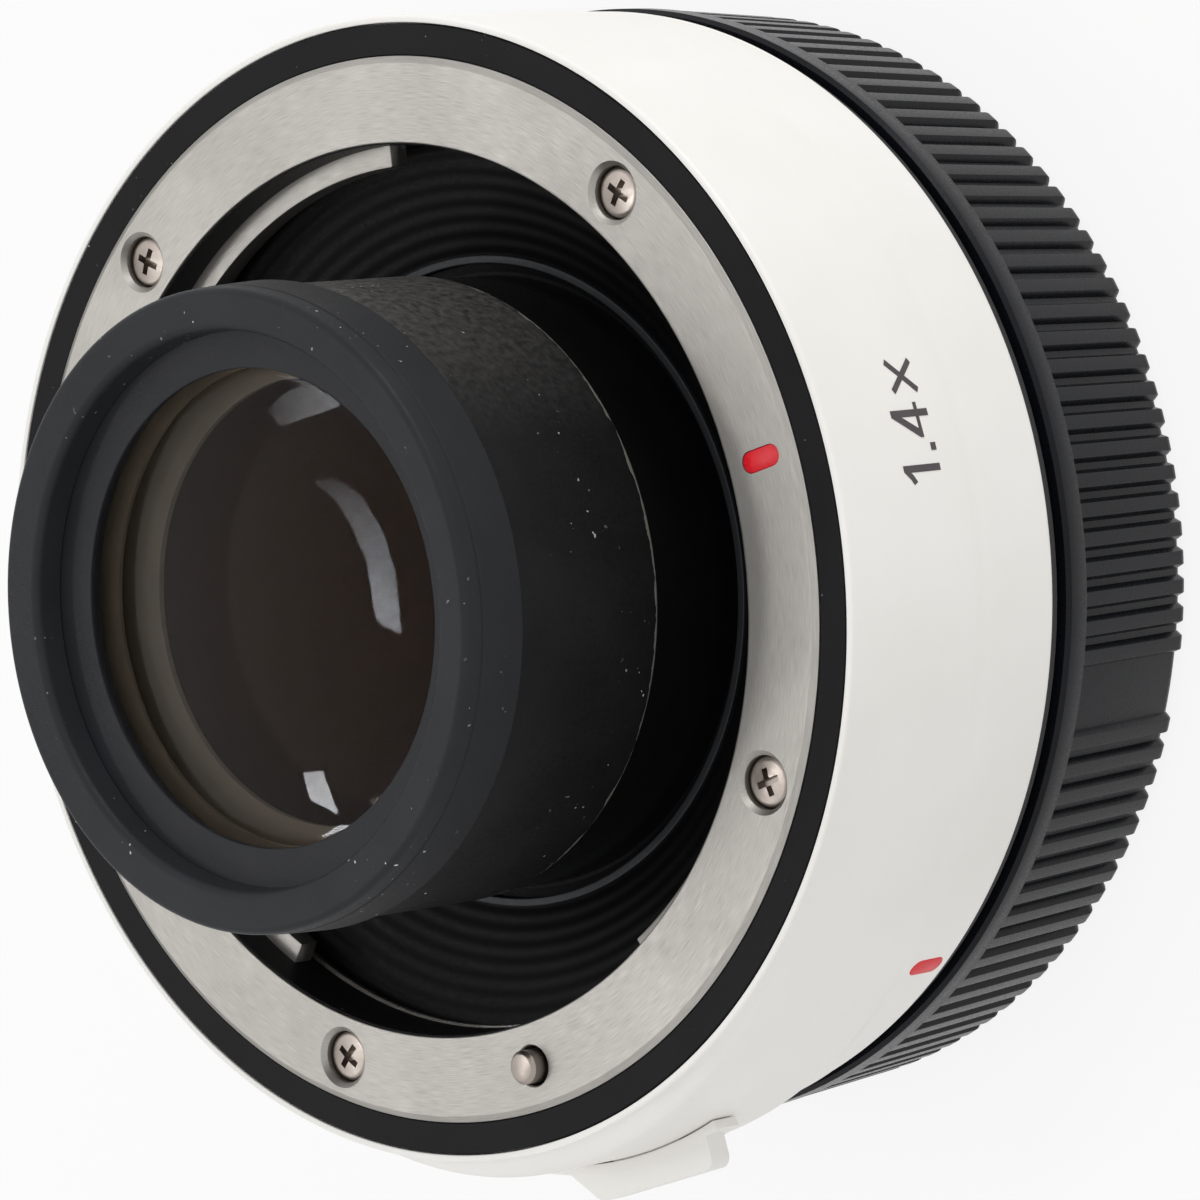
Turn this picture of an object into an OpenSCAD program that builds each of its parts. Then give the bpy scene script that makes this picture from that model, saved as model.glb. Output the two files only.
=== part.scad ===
// Camera teleconverter with a lens side bayonet, a camera side bayonet and a twist-on rear cap.
// Millimetres. +Z is the optical axis, pointing to the lens side. The part stands on the back of the cap at z = 0.
// Angles turn about +Z, and the front index mark lies at 270 degrees, towards -Y.

/* [Overall] */
// Distance between the lens side mount face and the camera side mount face
flange_gap = 20.3; // [18:0.1:23]
// Height of the camera side mount face above the back of the cap
camera_face_z = 13.5; // [11:0.1:15]
// Small gap left between pieces that sit beside each other
seat_gap = 0.05; // [0.02:0.01:0.08]

/* [Barrel] */
// Outer radius of the white barrel
barrel_r = 35.6; // [32:0.1:40]
// Wall of the white barrel
barrel_wall = 1.5; // [1.3:0.1:1.7]
// Thickness of the thin white rim round the trim ring
rim_wall = 0.45; // [0.3:0.05:0.7]
// Drop of the rim below the lens side mount face
rim_drop = 0.26; // [0.1:0.02:0.5]
// Distance from the camera side mount face to the barrel's rear edge
rear_step = 0.8; // [0.7:0.1:1.2]
// Thickness of the inner floor that carries the camera side ring
floor_t = 1.6; // [1.4:0.1:2.2]
// How much the barrel narrows at its rear edge
rear_taper = 0.1; // [0:0.05:0.3]
// Depth below the mount face at which the barrel starts to narrow
taper_depth = 12.7; // [11:0.1:14]

/* [Lens side mount] */
// Distance from the barrel's outside in to the lens side ring
ring_inset = 2.5; // [2.2:0.05:2.8]
// Width of the lens side ring's face
ring_w = 5.1; // [4.6:0.1:5.7]
// Thickness of the lens side ring
ring_t = 2.4; // [2.1:0.1:2.7]
// Wall of the skirt below the ring
skirt_wall = 0.8; // [0.7:0.05:0.9]
// Depth of the skirt below the ring
skirt_h = 2.2; // [2:0.1:2.5]
// Reach of the bayonet tabs into the throat
tab_reach = 1.25; // [1.1:0.05:1.4]
// Depth of the tabs' front face below the mount face
tab_depth = 1.7; // [1.5:0.1:2]
// Thickness of the tabs
tab_t = 1.6; // [1.2:0.1:1.8]
// Thickness of the flange shim under the ring
shim_t = 0.15; // [0.1:0.05:0.3]
// Thickness of the leaf spring ring
leaf_t = 0.3; // [0.2:0.05:0.4]
// Distance from the throat out to the circle of the front mount screws
front_screw_inset = 2.4; // [2.1:0.05:2.7]
// Distance from the camera side ring's edge in to the circle of its mount screws
rear_screw_inset = 2.7; // [2.4:0.05:3]
// Radius of a mount screw's head
screw_head_r = 1.6; // [1.4:0.05:1.8]
// Height of a mount screw's head
screw_head_h = 0.8; // [0.6:0.1:1]
// Radius of a mount screw's shank
screw_shank_r = 0.95; // [0.8:0.05:1.05]
// Length of a mount screw's shank
screw_shank_l = 6; // [5:0.5:7]
// Depth of a screw head below the mount face
screw_sink = 0.5; // [0.3:0.1:0.7]
// Wall of a boss round a mount screw
boss_wall = 0.8; // [0.6:0.1:1]

/* [Marks] */
// Length of an index mark
mark_l = 2.95; // [2:0.05:3.3]
// Width of an index mark
mark_w = 1.35; // [1:0.05:1.6]
// Depth of an index mark's recess
mark_depth = 0.3; // [0.2:0.05:0.4]
// Turn between the release and the locked position
lock_turn = 58.5; // [50:0.5:60]

/* [Lens tube] */
// Width of the ring-shaped socket between the throat and the lens tube
socket_w = 8.5; // [7.6:0.1:9.4]
// Depth of the tube's root below the mount face
tube_root_depth = 1.4; // [1:0.1:2]
// Length of the tube from its root to the bumper
tube_l = 12.3; // [11:0.1:14]
// Length of the nose inside the bumper
nose_l = 2.2; // [1.9:0.1:2.6]
// Step from the tube in to its nose
nose_step = 1.2; // [1:0.05:1.4]
// Step from the tube out to the bumper
bumper_step = 0.55; // [0.4:0.05:0.9]
// Length of the bumper
bumper_l = 4.9; // [4.3:0.1:5.5]
// Width by which the front retainer laps over the glass
retainer_lap = 2.3; // [2:0.1:2.6]
// Thickness of the front retainer
retainer_t = 1.3; // [1:0.1:1.6]
// Step from the tube in to the spigot of the optical barrel
spigot_step = 1.5; // [1.3:0.05:1.7]

/* [Lens elements] */
// Wall of the nose round the front group
nose_wall = 1.4; // [1.2:0.05:1.6]
// Wall of the optical barrel round the middle group
middle_wall = 6.2; // [5.5:0.1:6.9]
// Wall of the rear cell round the rear group
cell_wall = 1.9; // [1.7:0.1:2.2]
// Edge thickness of each element, from the front to the rear
edge_t = [2.0, 2.0, 3.2, 1.8, 3.0, 2.9, 2.2];
// Depth of each element's front surface, positive where it bulges outwards
front_depth = [1.18, 1.46, -2.66, -1.09, -2.5, 1.94, 3.26];
// Depth of each element's rear surface, positive where it bulges outwards
rear_depth = [0.97, 2.66, 0.68, 2.5, 0.98, -3.26, 0.84];
// Length of the front spacer
spacer_l = 3.6; // [3.1:0.1:4.1]
// Gap that the cement fills
cement = 0.03; // [0.02:0.01:0.05]

/* [Optical barrel] */
// Step from the lens tube in to the optical barrel
optic_step = 0.3; // [0.2:0.05:0.4]
// Gap between the throat and the mounting flange
optic_flange_gap = 2.4; // [2.2:0.05:2.6]
// Thickness of its mounting flange
optic_flange_t = 1.5; // [1.2:0.1:2]
// Thickness of the focus shim
optic_shim_t = 0.1; // [0.05:0.05:0.3]
// Wall of the optical barrel round the rear cell
optic_wall = 3.7; // [3.3:0.1:4.1]
// Width of the rear cell's flange
cell_flange_w = 3.1; // [2.8:0.05:3.4]

/* [Light baffle] */
// Gap between the optical barrel and the baffle's lip
lip_gap = 0.8; // [0.7:0.05:1]
// Gap between the leaf spring and the funnel's outer edge
funnel_gap = 0.8; // [0.6:0.1:1.2]
// Rise of the funnel from the lip to its outer edge
funnel_rise = 2.7; // [2.4:0.1:3]
// Number of ridges
ridge_count = 7; // [5:1:8]
// Height of a ridge
ridge_h = 0.3; // [0.15:0.05:0.4]
// Wall of the funnel
funnel_wall = 0.9; // [0.7:0.1:1.1]

/* [Camera side mount] */
// Thickness of the camera side ring's plate
plate_t = 2; // [1.8:0.1:2.4]
// Gap between the barrel's bore and the camera side ring
plate_gap = 0.4; // [0.3:0.05:0.5]
// Step from the lens side tabs in to the bayonet tube
bayonet_step = 0.75; // [0.6:0.05:0.9]
// Wall of the bayonet tube
bayonet_wall = 1.6; // [1.4:0.1:1.8]
// Length of the bayonet tube
bayonet_l = 4.9; // [4.4:0.1:5.4]
// Step from the throat in to the male tabs
male_tab_step = 1; // [0.9:0.05:1.1]
// Thickness of the male tabs
male_tab_t = 1.5; // [1.2:0.1:1.7]
// Thickness of the drip seal
seal_t = 0.7; // [0.4:0.05:0.75]

/* [Lock] */
// Angle of the lock pin and its lever
lock_angle = 181; // [180:0.5:182]
// Travel of the lock lever
lock_travel = 2; // [1.6:0.1:2.2]
// Distance from the throat out to the lock pin's circle
pin_inset = 2.35; // [2.1:0.05:2.6]
// Radius of the lock pin
pin_r = 1.05; // [0.9:0.05:1.15]
// Height of the lock pin above the mount face
pin_rise = 1.05; // [0.8:0.05:1.3]
// Gap between the pin and its hole in the lens side ring
pin_hole_gap = 0.31; // [0.2:0.01:0.35]
// Running clearance of the pin in its guide
pin_clearance = 0.05; // [0.03:0.01:0.08]
// Distance from the optical axis to the axis of the barrel's bulge
bulge_offset = 8; // [7:0.5:9]
// Height of the bulge above the barrel
bulge_h = 1.35; // [1.1:0.05:1.6]
// Depth of the lever's front edge below the mount face
lever_depth = 7.7; // [7:0.1:8.4]
// Length of the lever's plate along the axis
lever_plate_l = 6.5; // [5.8:0.1:7.2]
// Thickness of the lever's plate
lever_plate_t = 0.7; // [0.6:0.05:0.9]
// Angle from the lever's middle to the plate's longer end, about the bulge's axis
lever_long_angle = 20.5; // [18:0.5:22]
// Angle from the lever's middle to the plate's shorter end
lever_short_angle = 16.5; // [15:0.5:18]
// Height of the lever's fin above its plate
fin_h = 1.45; // [1.1:0.05:2]
// Length of the fin at its tip
fin_l = 9.9; // [8.5:0.1:11]
// Thickness of the fin
fin_t = 1.7; // [1.4:0.1:2.2]
// Running gap below the lever's plate
lever_gap = 0.1; // [0.08:0.01:0.2]

/* [Contacts] */
// Number of contacts on each side
contact_count = 12; // [8:1:13]
// Angle between neighbouring contacts
contact_pitch = 5; // [4.6:0.1:5.5]
// Distance from the throat in to the circle of the front contacts
contact_inset = 4; // [3.6:0.05:4.4]
// Depth of the front contact block's top below the mount face
contact_depth = 5.2; // [4.7:0.1:5.7]
// Rise of a contact pin above its block
contact_rise = 0.9; // [0.8:0.05:1]
// Travel of the contact pins
contact_travel = 0.7; // [0.5:0.05:0.75]
// Radius of a contact pin
contact_r = 0.45; // [0.35:0.05:0.5]
// Radius of a rear contact pad
pad_r = 0.65; // [0.5:0.05:0.7]

/* [Circuit board] */
// Thickness of the circuit board
board_t = 0.8; // [0.6:0.1:1]
// Height of the stand-offs that carry the board
standoff_h = 1.4; // [1.3:0.1:1.8]
// Gap between the board and the camera side ring
board_gap = 0.3; // [0.2:0.1:0.5]

/* [Rear cap] */
// Step from the barrel out to the cap's ribs
cap_step = 0; // [0:0.05:0.8]
// How much the cap narrows from its rim to its back
cap_draft = 0.7; // [0.2:0.05:1]
// Thickness of the cap's floor
cap_floor_t = 1.6; // [1.2:0.1:2]
// Wall of the cap below the ribs
cap_wall = 1.6; // [1.3:0.1:2]
// Gap between the cap's rim and the camera side mount face
cap_gap = 0.5; // [0.3:0.05:0.7]
// Height of the plain rim above the ribs
cap_rim_h = 1.75; // [1.2:0.05:2.2]
// Number of rib pitches round the cap
rib_count = 123; // [96:1:140]
// Depth of the grooves between the ribs
groove_depth = 0.5; // [0.3:0.05:0.6]
// Share of the pitch that a groove takes
groove_share = 0.5; // [0.4:0.02:0.6]
// Radial clearance between the cap's bayonet and the camera side bayonet
cap_clearance = 0.25; // [0.2:0.05:0.3]

/* [Hidden] */
$fn = 96;
overcut = 1;

// Radii, from the barrel inwards
bore_r = barrel_r - barrel_wall;
trim_outer_r = barrel_r - rim_wall;
ring_r = barrel_r - ring_inset;
throat_r = ring_r - ring_w;
tab_r = throat_r - tab_reach;
skirt_r = throat_r + skirt_wall;
chassis_gap = 0.15;
chassis_bore_r = skirt_r + chassis_gap;
chassis_wall = 2;
chassis_r = chassis_bore_r + chassis_wall;
chassis_flange_r = bore_r - 2 * seat_gap;
front_screw_circle = throat_r + front_screw_inset;
pin_circle_r = throat_r + pin_inset;
pin_hole_r = pin_r + pin_hole_gap;
plate_r = bore_r - plate_gap;
rear_screw_circle = plate_r - rear_screw_inset;
bayonet_r = tab_r - bayonet_step;
bayonet_bore_r = bayonet_r - bayonet_wall;
male_tab_r = throat_r - male_tab_step;
tube_r = throat_r - socket_w;
nose_r = tube_r - nose_step;
bumper_r = tube_r + bumper_step;
spigot_r = tube_r - spigot_step;
front_glass_r = nose_r - nose_wall;
tube_bore_r = front_glass_r + seat_gap;
retainer_bore_r = front_glass_r - retainer_lap;
optic_r = tube_r - optic_step;
optic_flange_r = throat_r - optic_flange_gap;
middle_glass_r = optic_r - middle_wall;
cell_r = optic_r - optic_wall;
cell_flange_r = cell_r + cell_flange_w;
rear_glass_r = cell_r - cell_wall;
lip_r = optic_r + lip_gap;

// Heights along the axis
flange_z = camera_face_z + flange_gap;
barrel_rear_z = camera_face_z + rear_step;
barrel_front_z = flange_z - rim_drop;
taper_z = flange_z - taper_depth;
plate_z = camera_face_z + plate_t;
floor_z = plate_z + floor_t;
ring_z = flange_z - ring_t;
skirt_z = ring_z - skirt_h;
chassis_top_z = ring_z - shim_t;
tab_top_z = flange_z - tab_depth;
tab_z = tab_top_z - tab_t;
trim_t = 1.05;
ledge_z = barrel_front_z - trim_t;
board_z = plate_z + board_gap;
board_top_z = board_z + board_t;
web_z = board_top_z + standoff_h;
web_t = 1.8;
web_top_z = web_z + web_t;
optic_flange_z = web_top_z + optic_shim_t;
optic_flange_top_z = optic_flange_z + optic_flange_t;
root_z = flange_z - tube_root_depth;
bumper_z = root_z + tube_l;
nose_z = bumper_z + nose_l;
bumper_top_z = bumper_z + bumper_l;
funnel_top_z = skirt_z - leaf_t - funnel_gap;
lip_z = funnel_top_z - funnel_rise;
funnel_rim_h = 1.6;
// Lower edge of the baffle's rim, which rests on the chassis
baffle_seat_z = funnel_top_z - funnel_rim_h;
bayonet_end_z = camera_face_z - bayonet_l;
male_tab_rise = 0.3;
male_tab_z = bayonet_end_z + male_tab_rise;
male_tab_top_z = male_tab_z + male_tab_t;
cap_rim_z = camera_face_z - cap_gap;

// Angles
index_angle = 270;
rear_mark_angle = index_angle - lock_turn;
contact_angle = 90;
front_screw_angles = [31, 150, 233, 307];
rear_screw_angles = [40, 140, 220, 320];
// Each female tab is [start angle, width], and the gaps between them are worked out from these
tab_spans = [[-17, 58], [85, 54], [205, 56]];
tab_margin = 3;
function next_start(i) = i + 1 < len(tab_spans) ? tab_spans[i + 1][0] : tab_spans[0][0] + 360;
function gap_start(i) = tab_spans[i][0] + tab_spans[i][1];
function gap_width(i) = next_start(i) - gap_start(i);

// Glass stack, from the front retainer backwards
front_glass_z = nose_z - retainer_t;
spacer_top_z = front_glass_z - edge_t[0];
doublet_top_z = spacer_top_z - spacer_l;
doublet_mid_z = doublet_top_z - edge_t[1];
tube_ledge_z = doublet_mid_z - edge_t[2];
tube_ledge_t = 1;
spigot_z = tube_ledge_z - tube_ledge_t;
// The joint's gap lies outside the spigot, or inside the rim where the ledge reaches below the tube's root
joint_r = spigot_z > root_z ? spigot_r + seat_gap : spigot_r - seat_gap;
middle_rise = 2.8;
middle_seat_z = optic_flange_top_z + middle_rise;
middle_mid_z = middle_seat_z + edge_t[4];
middle_top_z = middle_mid_z + edge_t[3];
middle_ring_t = 1.2;
cell_base_depth = 1.5;
cell_base_z = camera_face_z - cell_base_depth;
cell_flange_t = 1.2;
cell_seat_rise = 7.7;
cell_seat_z = cell_base_z + cell_seat_rise;
rear_mid_z = cell_seat_z - edge_t[5];
rear_glass_z = rear_mid_z - edge_t[6];
rear_ring_t = 1.3;
cell_seat_t = 3;
cell_top_z = cell_seat_z + cell_seat_t;
// Inner radii of the seats that the glass rests on
spacer_bore_r = front_glass_r - 1.6;
tube_seat_r = front_glass_r - 2.1;
middle_ring_r = middle_glass_r - 1.5;
middle_seat_r = middle_glass_r - 1.2;
cell_seat_r = rear_glass_r - 1.2;
rear_ring_r = rear_glass_r - 1.2;
// Radii at which each curved surface ends, short of its seat or at the edge where it is cemented
seat_inset = 0.1;
front_clear = [retainer_bore_r - seat_inset, spacer_bore_r - seat_inset, front_glass_r,
    middle_ring_r - seat_inset, middle_glass_r, cell_seat_r - seat_inset, rear_glass_r];
rear_clear = [spacer_bore_r - seat_inset, front_glass_r, tube_seat_r - seat_inset, middle_glass_r,
    middle_seat_r - seat_inset, rear_glass_r, rear_ring_r - seat_inset];
// Screwed rings are wider than the glass by the depth of their thread
thread_h = 0.45;

// Lock sizes
bulge_r = barrel_r + bulge_h - bulge_offset;
bulge_rear_margin = 1.9;
bulge_front_margin = 0.15;
bulge_rear_ramp = 3.2;
bulge_front_ramp = 1.2;
lever_front_z = flange_z - lever_depth;
lever_rear_z = lever_front_z - lever_plate_l;
lever_inner_r = bulge_r + lever_gap;
lever_outer_r = lever_inner_r + lever_plate_t;
lever_crown = 4;
foot_w = 5.8;
foot_l = 1.8;
foot_gap = 0.15;
foot_depth = 2.3;
foot_z = lever_front_z - foot_depth - foot_l;
carrier_t = 2.6;
carrier_drop = 0.4;
carrier_z = foot_z - carrier_drop;
carrier_reach = 1.75;
carrier_inner_x = pin_circle_r - carrier_reach;
carrier_gap = 0.7;
carrier_outer_x = bore_r - carrier_gap;
carrier_w = 9.2;
pocket_gap = 0.4;
lever_screw_y = 2;
lever_screw_r = 0.45;
lever_screw_head_r = 0.72;
lever_screw_head_t = 0.6;
lever_screw_sink = 1.2;
lever_screw_x = carrier_outer_x - lever_screw_sink;
stud_r = 0.6;
stud_gap = 0.3;
stud_rise = carrier_z - lock_travel - floor_z - stud_gap;
lock_coil_r = 1.25;
lock_wire_r = 0.16;
lock_turns = 4;

// Contact sizes
front_contact_r = throat_r - contact_inset;
front_block_in = 2.2;
front_block_out = 1.9;
front_block_inner_r = front_contact_r - front_block_in;
front_block_outer_r = front_contact_r + front_block_out;
contact_half = (contact_count - 1) / 2 * contact_pitch;
front_block_half = contact_half + 4.5;
front_lug_half = front_block_half + 7;
front_lug_t = 1.2;
front_block_z = optic_flange_top_z;
front_block_top_z = flange_z - contact_depth;
guide_t = 1.2;
collar_w = 0.2;
collar_r = contact_r + collar_w;
collar_t = 0.8;
collar_top_z = front_block_top_z - guide_t - seat_gap;
spring_floor_t = 1;
spring_floor_z = front_block_z + spring_floor_t;
spring_bore_r = collar_r + seat_gap;
contact_coil_r = contact_r - 0.01;
contact_wire_r = 0.09;
contact_turns = 4;
rear_block_in_gap = 1;
rear_block_out_gap = 1.5;
rear_block_inner_r = cell_flange_r + rear_block_in_gap;
rear_block_outer_r = bayonet_bore_r - rear_block_out_gap;
rear_contact_r = (rear_block_inner_r + rear_block_outer_r) / 2;
rear_block_half = contact_half + 3.5;
rear_base_half = rear_block_half + 4;
rear_base_w = 0.3;
rear_base_t = 1.8;
rear_block_depth = 3.9;
rear_block_z = camera_face_z - rear_block_depth;
cover_depth = 1.9;
cover_z = camera_face_z - cover_depth;
cover_t = 1;
cover_flange_t = 0.8;
cover_wall = 0.9;
cover_gap = 0.3;
cover_top_z = cover_z + cover_t;
pad_t = 0.5;
flex_t = 0.2;
flex_half = 10;
flex_gap = 0.3;
flex_lap = 4;
flex_r = front_block_outer_r + seat_gap;
board_bore_gap = 1;
board_edge_gap = 0.55;
board_inner_r = optic_r + board_bore_gap;
board_outer_r = chassis_bore_r - board_edge_gap;
board_screw_inset = 2.8;
board_screw_circle = board_inner_r + board_screw_inset;
board_screw_angles = [0, 180, 270];
board_screw_r = 0.7;
board_screw_head_r = 1.2;
board_screw_head_h = 0.6;
standoff_r = 1.6;
chip_circle = (board_inner_r + board_outer_r) / 2;
optic_screw_inset = 2.2;
optic_screw_circle = optic_flange_r - optic_screw_inset;
optic_screw_angles = [30, 205, 330];
optic_screw_r = 0.85;
optic_screw_head_r = 1.5;
optic_screw_head_h = 0.9;
lug_screw_r = 0.6;
lug_screw_head_r = 1.05;
lug_screw_head_h = 0.6;
lug_screw_half = front_block_half + 4;
// Threads stop short of the end of their holes by this much
thread_short = 0.2;

// Cap sizes
cap_r = barrel_r + cap_step;
cap_back_r = cap_r - cap_draft;
cap_inner_r = cap_back_r - groove_depth - cap_wall;
cap_rim_step = 0.03;
cap_rim_r = cap_r + cap_rim_step;
cap_rib_z = cap_rim_z - cap_rim_h;
collar_inner_r = male_tab_r + cap_clearance;
collar_wall = 1.6;
cap_tab_r = bayonet_r + cap_clearance;
cap_tab_gap = 0.2;
cap_tab_z = male_tab_top_z + cap_tab_gap;
cap_tab_t = 1.4;
plain_pitches = 2;
plain_angle = 241;
rib_phase = -0.4;
cap_line_w = 0.4;

// A ring about the optical axis
module ring(r_in, r_out, z0, z1) {
    rotate_extrude() translate([r_in, z0]) square([r_out - r_in, z1 - z0]);
}

// A stretch of a ring that starts at an angle and has a width in degrees
module arc_ring(r_in, r_out, z0, z1, start, width) {
    rotate([0, 0, start]) rotate_extrude(angle = width) translate([r_in, z0]) square([r_out - r_in, z1 - z0]);
}

// Children moved out to a radius at an angle
module at(angle, r) {
    rotate([0, 0, angle]) translate([r, 0, 0]) children();
}

// A round bar or hole along Z
module bar(r, z0, z1) {
    translate([0, 0, z0]) cylinder(r = r, h = z1 - z0);
}

// A slot shape with round ends, long along X
module oblong(l, w, z0, z1) {
    translate([0, 0, z0]) linear_extrude(z1 - z0) union() {
        square([l - w, w], center = true);
        for (s = [-1, 1]) translate([s * (l - w) / 2, 0]) circle(d = w);
    }
}

// A cross-head screw whose head's underside is at z = 0 and whose shank points down
module cross_screw(head_r, head_h, shank_r, shank_l) {
    slot_w = head_r * 0.3;
    slot_l = head_r * 1.15;
    difference() {
        union() {
            rotate_extrude() polygon([[0, 0], [head_r, 0], [head_r, head_h * 0.7], [head_r * 0.82, head_h],
                [0, head_h]]);
            bar(shank_r, -shank_l, 0);
        }
        for (a = [0, 90]) rotate([0, 0, a])
            translate([-slot_l / 2, -slot_w / 2, head_h * 0.35]) cube([slot_l, slot_w, head_h]);
    }
}

// A coil spring along Z as one tube with flat-sided wire
module coil(coil_r, wire_r, z0, z1, turns, rings, sides) {
    count = turns * rings;
    low = z0 + wire_r;
    rise = z1 - z0 - 2 * wire_r;
    points = [for (i = [0 : count]) for (k = [0 : sides - 1])
        let (turn = 360 * i / rings, side = 360 * (k + 0.5) / sides, r = coil_r + wire_r * cos(side))
        [r * cos(turn), r * sin(turn), low + rise * i / count + wire_r * sin(side)]];
    first_cap = [[for (k = [0 : sides - 1]) k]];
    last_cap = [[for (k = [sides - 1 : -1 : 0]) count * sides + k]];
    walls = [for (i = [0 : count - 1]) for (k = [0 : sides - 1])
        let (a = i * sides + k, b = i * sides + (k + 1) % sides)
        each [[a, a + sides, b], [b, a + sides, b + sides]]];
    polyhedron(points = points, faces = concat(first_cap, last_cap, walls));
}

// Depth of a spherical surface of radius c at a radius r
function sag(c, r) = c - sqrt(c * c - r * r);

// Radius of the sphere that has a depth at a radius r
function sphere_r(depth, r) = (r * r + depth * depth) / (2 * abs(depth));

// Height of a lens surface above its edge, positive outwards
function bulge_at(depth, edge_r, r) = sign(depth) * (abs(depth) - sag(sphere_r(depth, edge_r), r));

// One lens element between the planes of its edge
module lens_element(index, edge_r, z0, z1) {
    steps = 10;
    rear_r = rear_clear[index];
    front_r = front_clear[index];
    rear = [for (i = [0 : steps]) let (r = rear_r * i / steps) [r, z0 - bulge_at(rear_depth[index], rear_r, r)]];
    front = [for (i = [steps : -1 : 0]) let (r = front_r * i / steps)
        [r, z1 + bulge_at(front_depth[index], front_r, r)]];
    rear_land = rear_r < edge_r ? [[edge_r, z0]] : [];
    front_land = front_r < edge_r ? [[edge_r, z1]] : [];
    color("saddlebrown", 0.5) rotate_extrude() polygon(concat(rear, rear_land, front_land, front));
}

// Points along a round stretch of an outline
function arc_points(x, y, r, from, to, steps) = [for (i = [0 : steps])
    let (a = from + (to - from) * i / steps) [x + r * cos(a), y + r * sin(a)]];

// Frame of the lever: its own X points outwards from the bulge's axis
module at_bulge() {
    at(lock_angle, bulge_offset) children();
}

// Outer barrel and its bulge
module outer_barrel() {
    bulge_rear_z = barrel_rear_z + bulge_rear_margin;
    bulge_front_z = barrel_front_z - bulge_front_margin;
    edge = 0.25;
    color("ivory") difference() {
        union() {
            rotate_extrude() polygon([[0, barrel_rear_z], [barrel_r - rear_taper - edge, barrel_rear_z],
                [barrel_r - rear_taper, barrel_rear_z + edge], [barrel_r, taper_z],
                [barrel_r, barrel_front_z - edge], [barrel_r - edge, barrel_front_z], [0, barrel_front_z]]);
            at_bulge() rotate_extrude() polygon([[0, bulge_rear_z], [bulge_r - bulge_h, bulge_rear_z],
                [bulge_r, bulge_rear_z + bulge_rear_ramp], [bulge_r, bulge_front_z - bulge_front_ramp],
                [bulge_r - bulge_h, bulge_front_z], [0, bulge_front_z]]);
        }
        bar(bore_r, barrel_rear_z - overcut, plate_z);
        bar(chassis_bore_r, plate_z - overcut, floor_z + overcut);
        bar(bore_r, floor_z, ledge_z + overcut);
        bar(trim_outer_r, ledge_z, barrel_front_z + overcut);
        for (a = rear_screw_angles) at(a, rear_screw_circle)
            bar(screw_shank_r + seat_gap, plate_z - overcut, floor_z + overcut);
        at(lock_angle, pin_circle_r) bar(stud_r, plate_z - overcut, floor_z + overcut);
        rotate([0, 0, lock_angle])
            translate([bore_r - overcut, -foot_w / 2 - foot_gap, foot_z - lock_travel - foot_gap])
            cube([barrel_wall + bulge_h + 2 * overcut, foot_w + 2 * foot_gap, foot_l + lock_travel + 2 * foot_gap]);
        rear_mark_shape(0, barrel_r + overcut);
    }
}

// Centre height of the rear index mark
rear_mark_z = barrel_rear_z + 2.25;

// The rear index mark's outline cut from a depth in the barrel's wall to a radius
module rear_mark_shape(gap, r_out) {
    rotate([0, 0, rear_mark_angle]) translate([0, 0, rear_mark_z]) rotate([0, 90, 0])
        oblong(mark_l - 2 * gap, mark_w - 2 * gap, barrel_r - rear_taper - mark_depth + gap, r_out);
}

// Red mark that shows where the converter enters a camera
module rear_index_mark() {
    color("crimson") rear_mark_shape(0.02, barrel_r - rear_taper - 0.04);
}

// Black ring between the barrel's rim and the lens side ring
module front_trim_ring() {
    color("dimgray") ring(ring_r + seat_gap, trim_outer_r - seat_gap, ledge_z, barrel_front_z);
}

// Holes for the four front screws
module front_screw_holes(r, z0, z1) {
    for (a = front_screw_angles) at(a, front_screw_circle) bar(r, z0, z1);
}

// The front index mark's oblong, from a depth below the mount face
module front_mark_shape(gap, z0, z1) {
    at(index_angle, front_screw_circle) oblong(mark_l - 2 * gap, mark_w - 2 * gap, z0, z1);
}

// Steel ring with three bayonet tabs
module lens_mount_ring() {
    bevel_w = 0.4;
    bevel_h = 0.22;
    sink_bevel = 0.3;
    head_z = flange_z - screw_sink - screw_head_h;
    color("silver") difference() {
        union() {
            rotate_extrude() polygon([[throat_r, skirt_z], [skirt_r, skirt_z], [skirt_r, ring_z], [ring_r, ring_z],
                [ring_r, flange_z - bevel_h], [ring_r - bevel_w, flange_z], [throat_r, flange_z]]);
            for (t = tab_spans) arc_ring(tab_r, throat_r + skirt_wall / 2, tab_z, tab_top_z, t[0], t[1]);
        }
        front_screw_holes(screw_shank_r + 2 * seat_gap, ring_z - overcut, flange_z);
        front_screw_holes(screw_head_r + seat_gap, head_z, flange_z + overcut);
        for (a = front_screw_angles) at(a, front_screw_circle) translate([0, 0, flange_z - sink_bevel])
            cylinder(r1 = screw_head_r + seat_gap, r2 = screw_head_r + seat_gap + sink_bevel, h = sink_bevel);
        at(lock_angle, pin_circle_r) bar(pin_hole_r, ring_z - overcut, flange_z + overcut);
        front_mark_shape(0, flange_z - mark_depth, flange_z + overcut);
    }
}

// Four screws that hold the lens side ring
module lens_mount_screws() {
    turns = [20, 65, 40, 5];
    color("gray") for (i = [0 : 3]) at(front_screw_angles[i], front_screw_circle)
        translate([0, 0, flange_z - screw_sink - screw_head_h]) rotate([0, 0, turns[i]])
        cross_screw(screw_head_r, screw_head_h, screw_shank_r, screw_shank_l);
}

// Red filled mark on the lens side ring
module front_index_mark() {
    color("crimson") front_mark_shape(0.02, flange_z - mark_depth, flange_z - 0.06);
}

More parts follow.
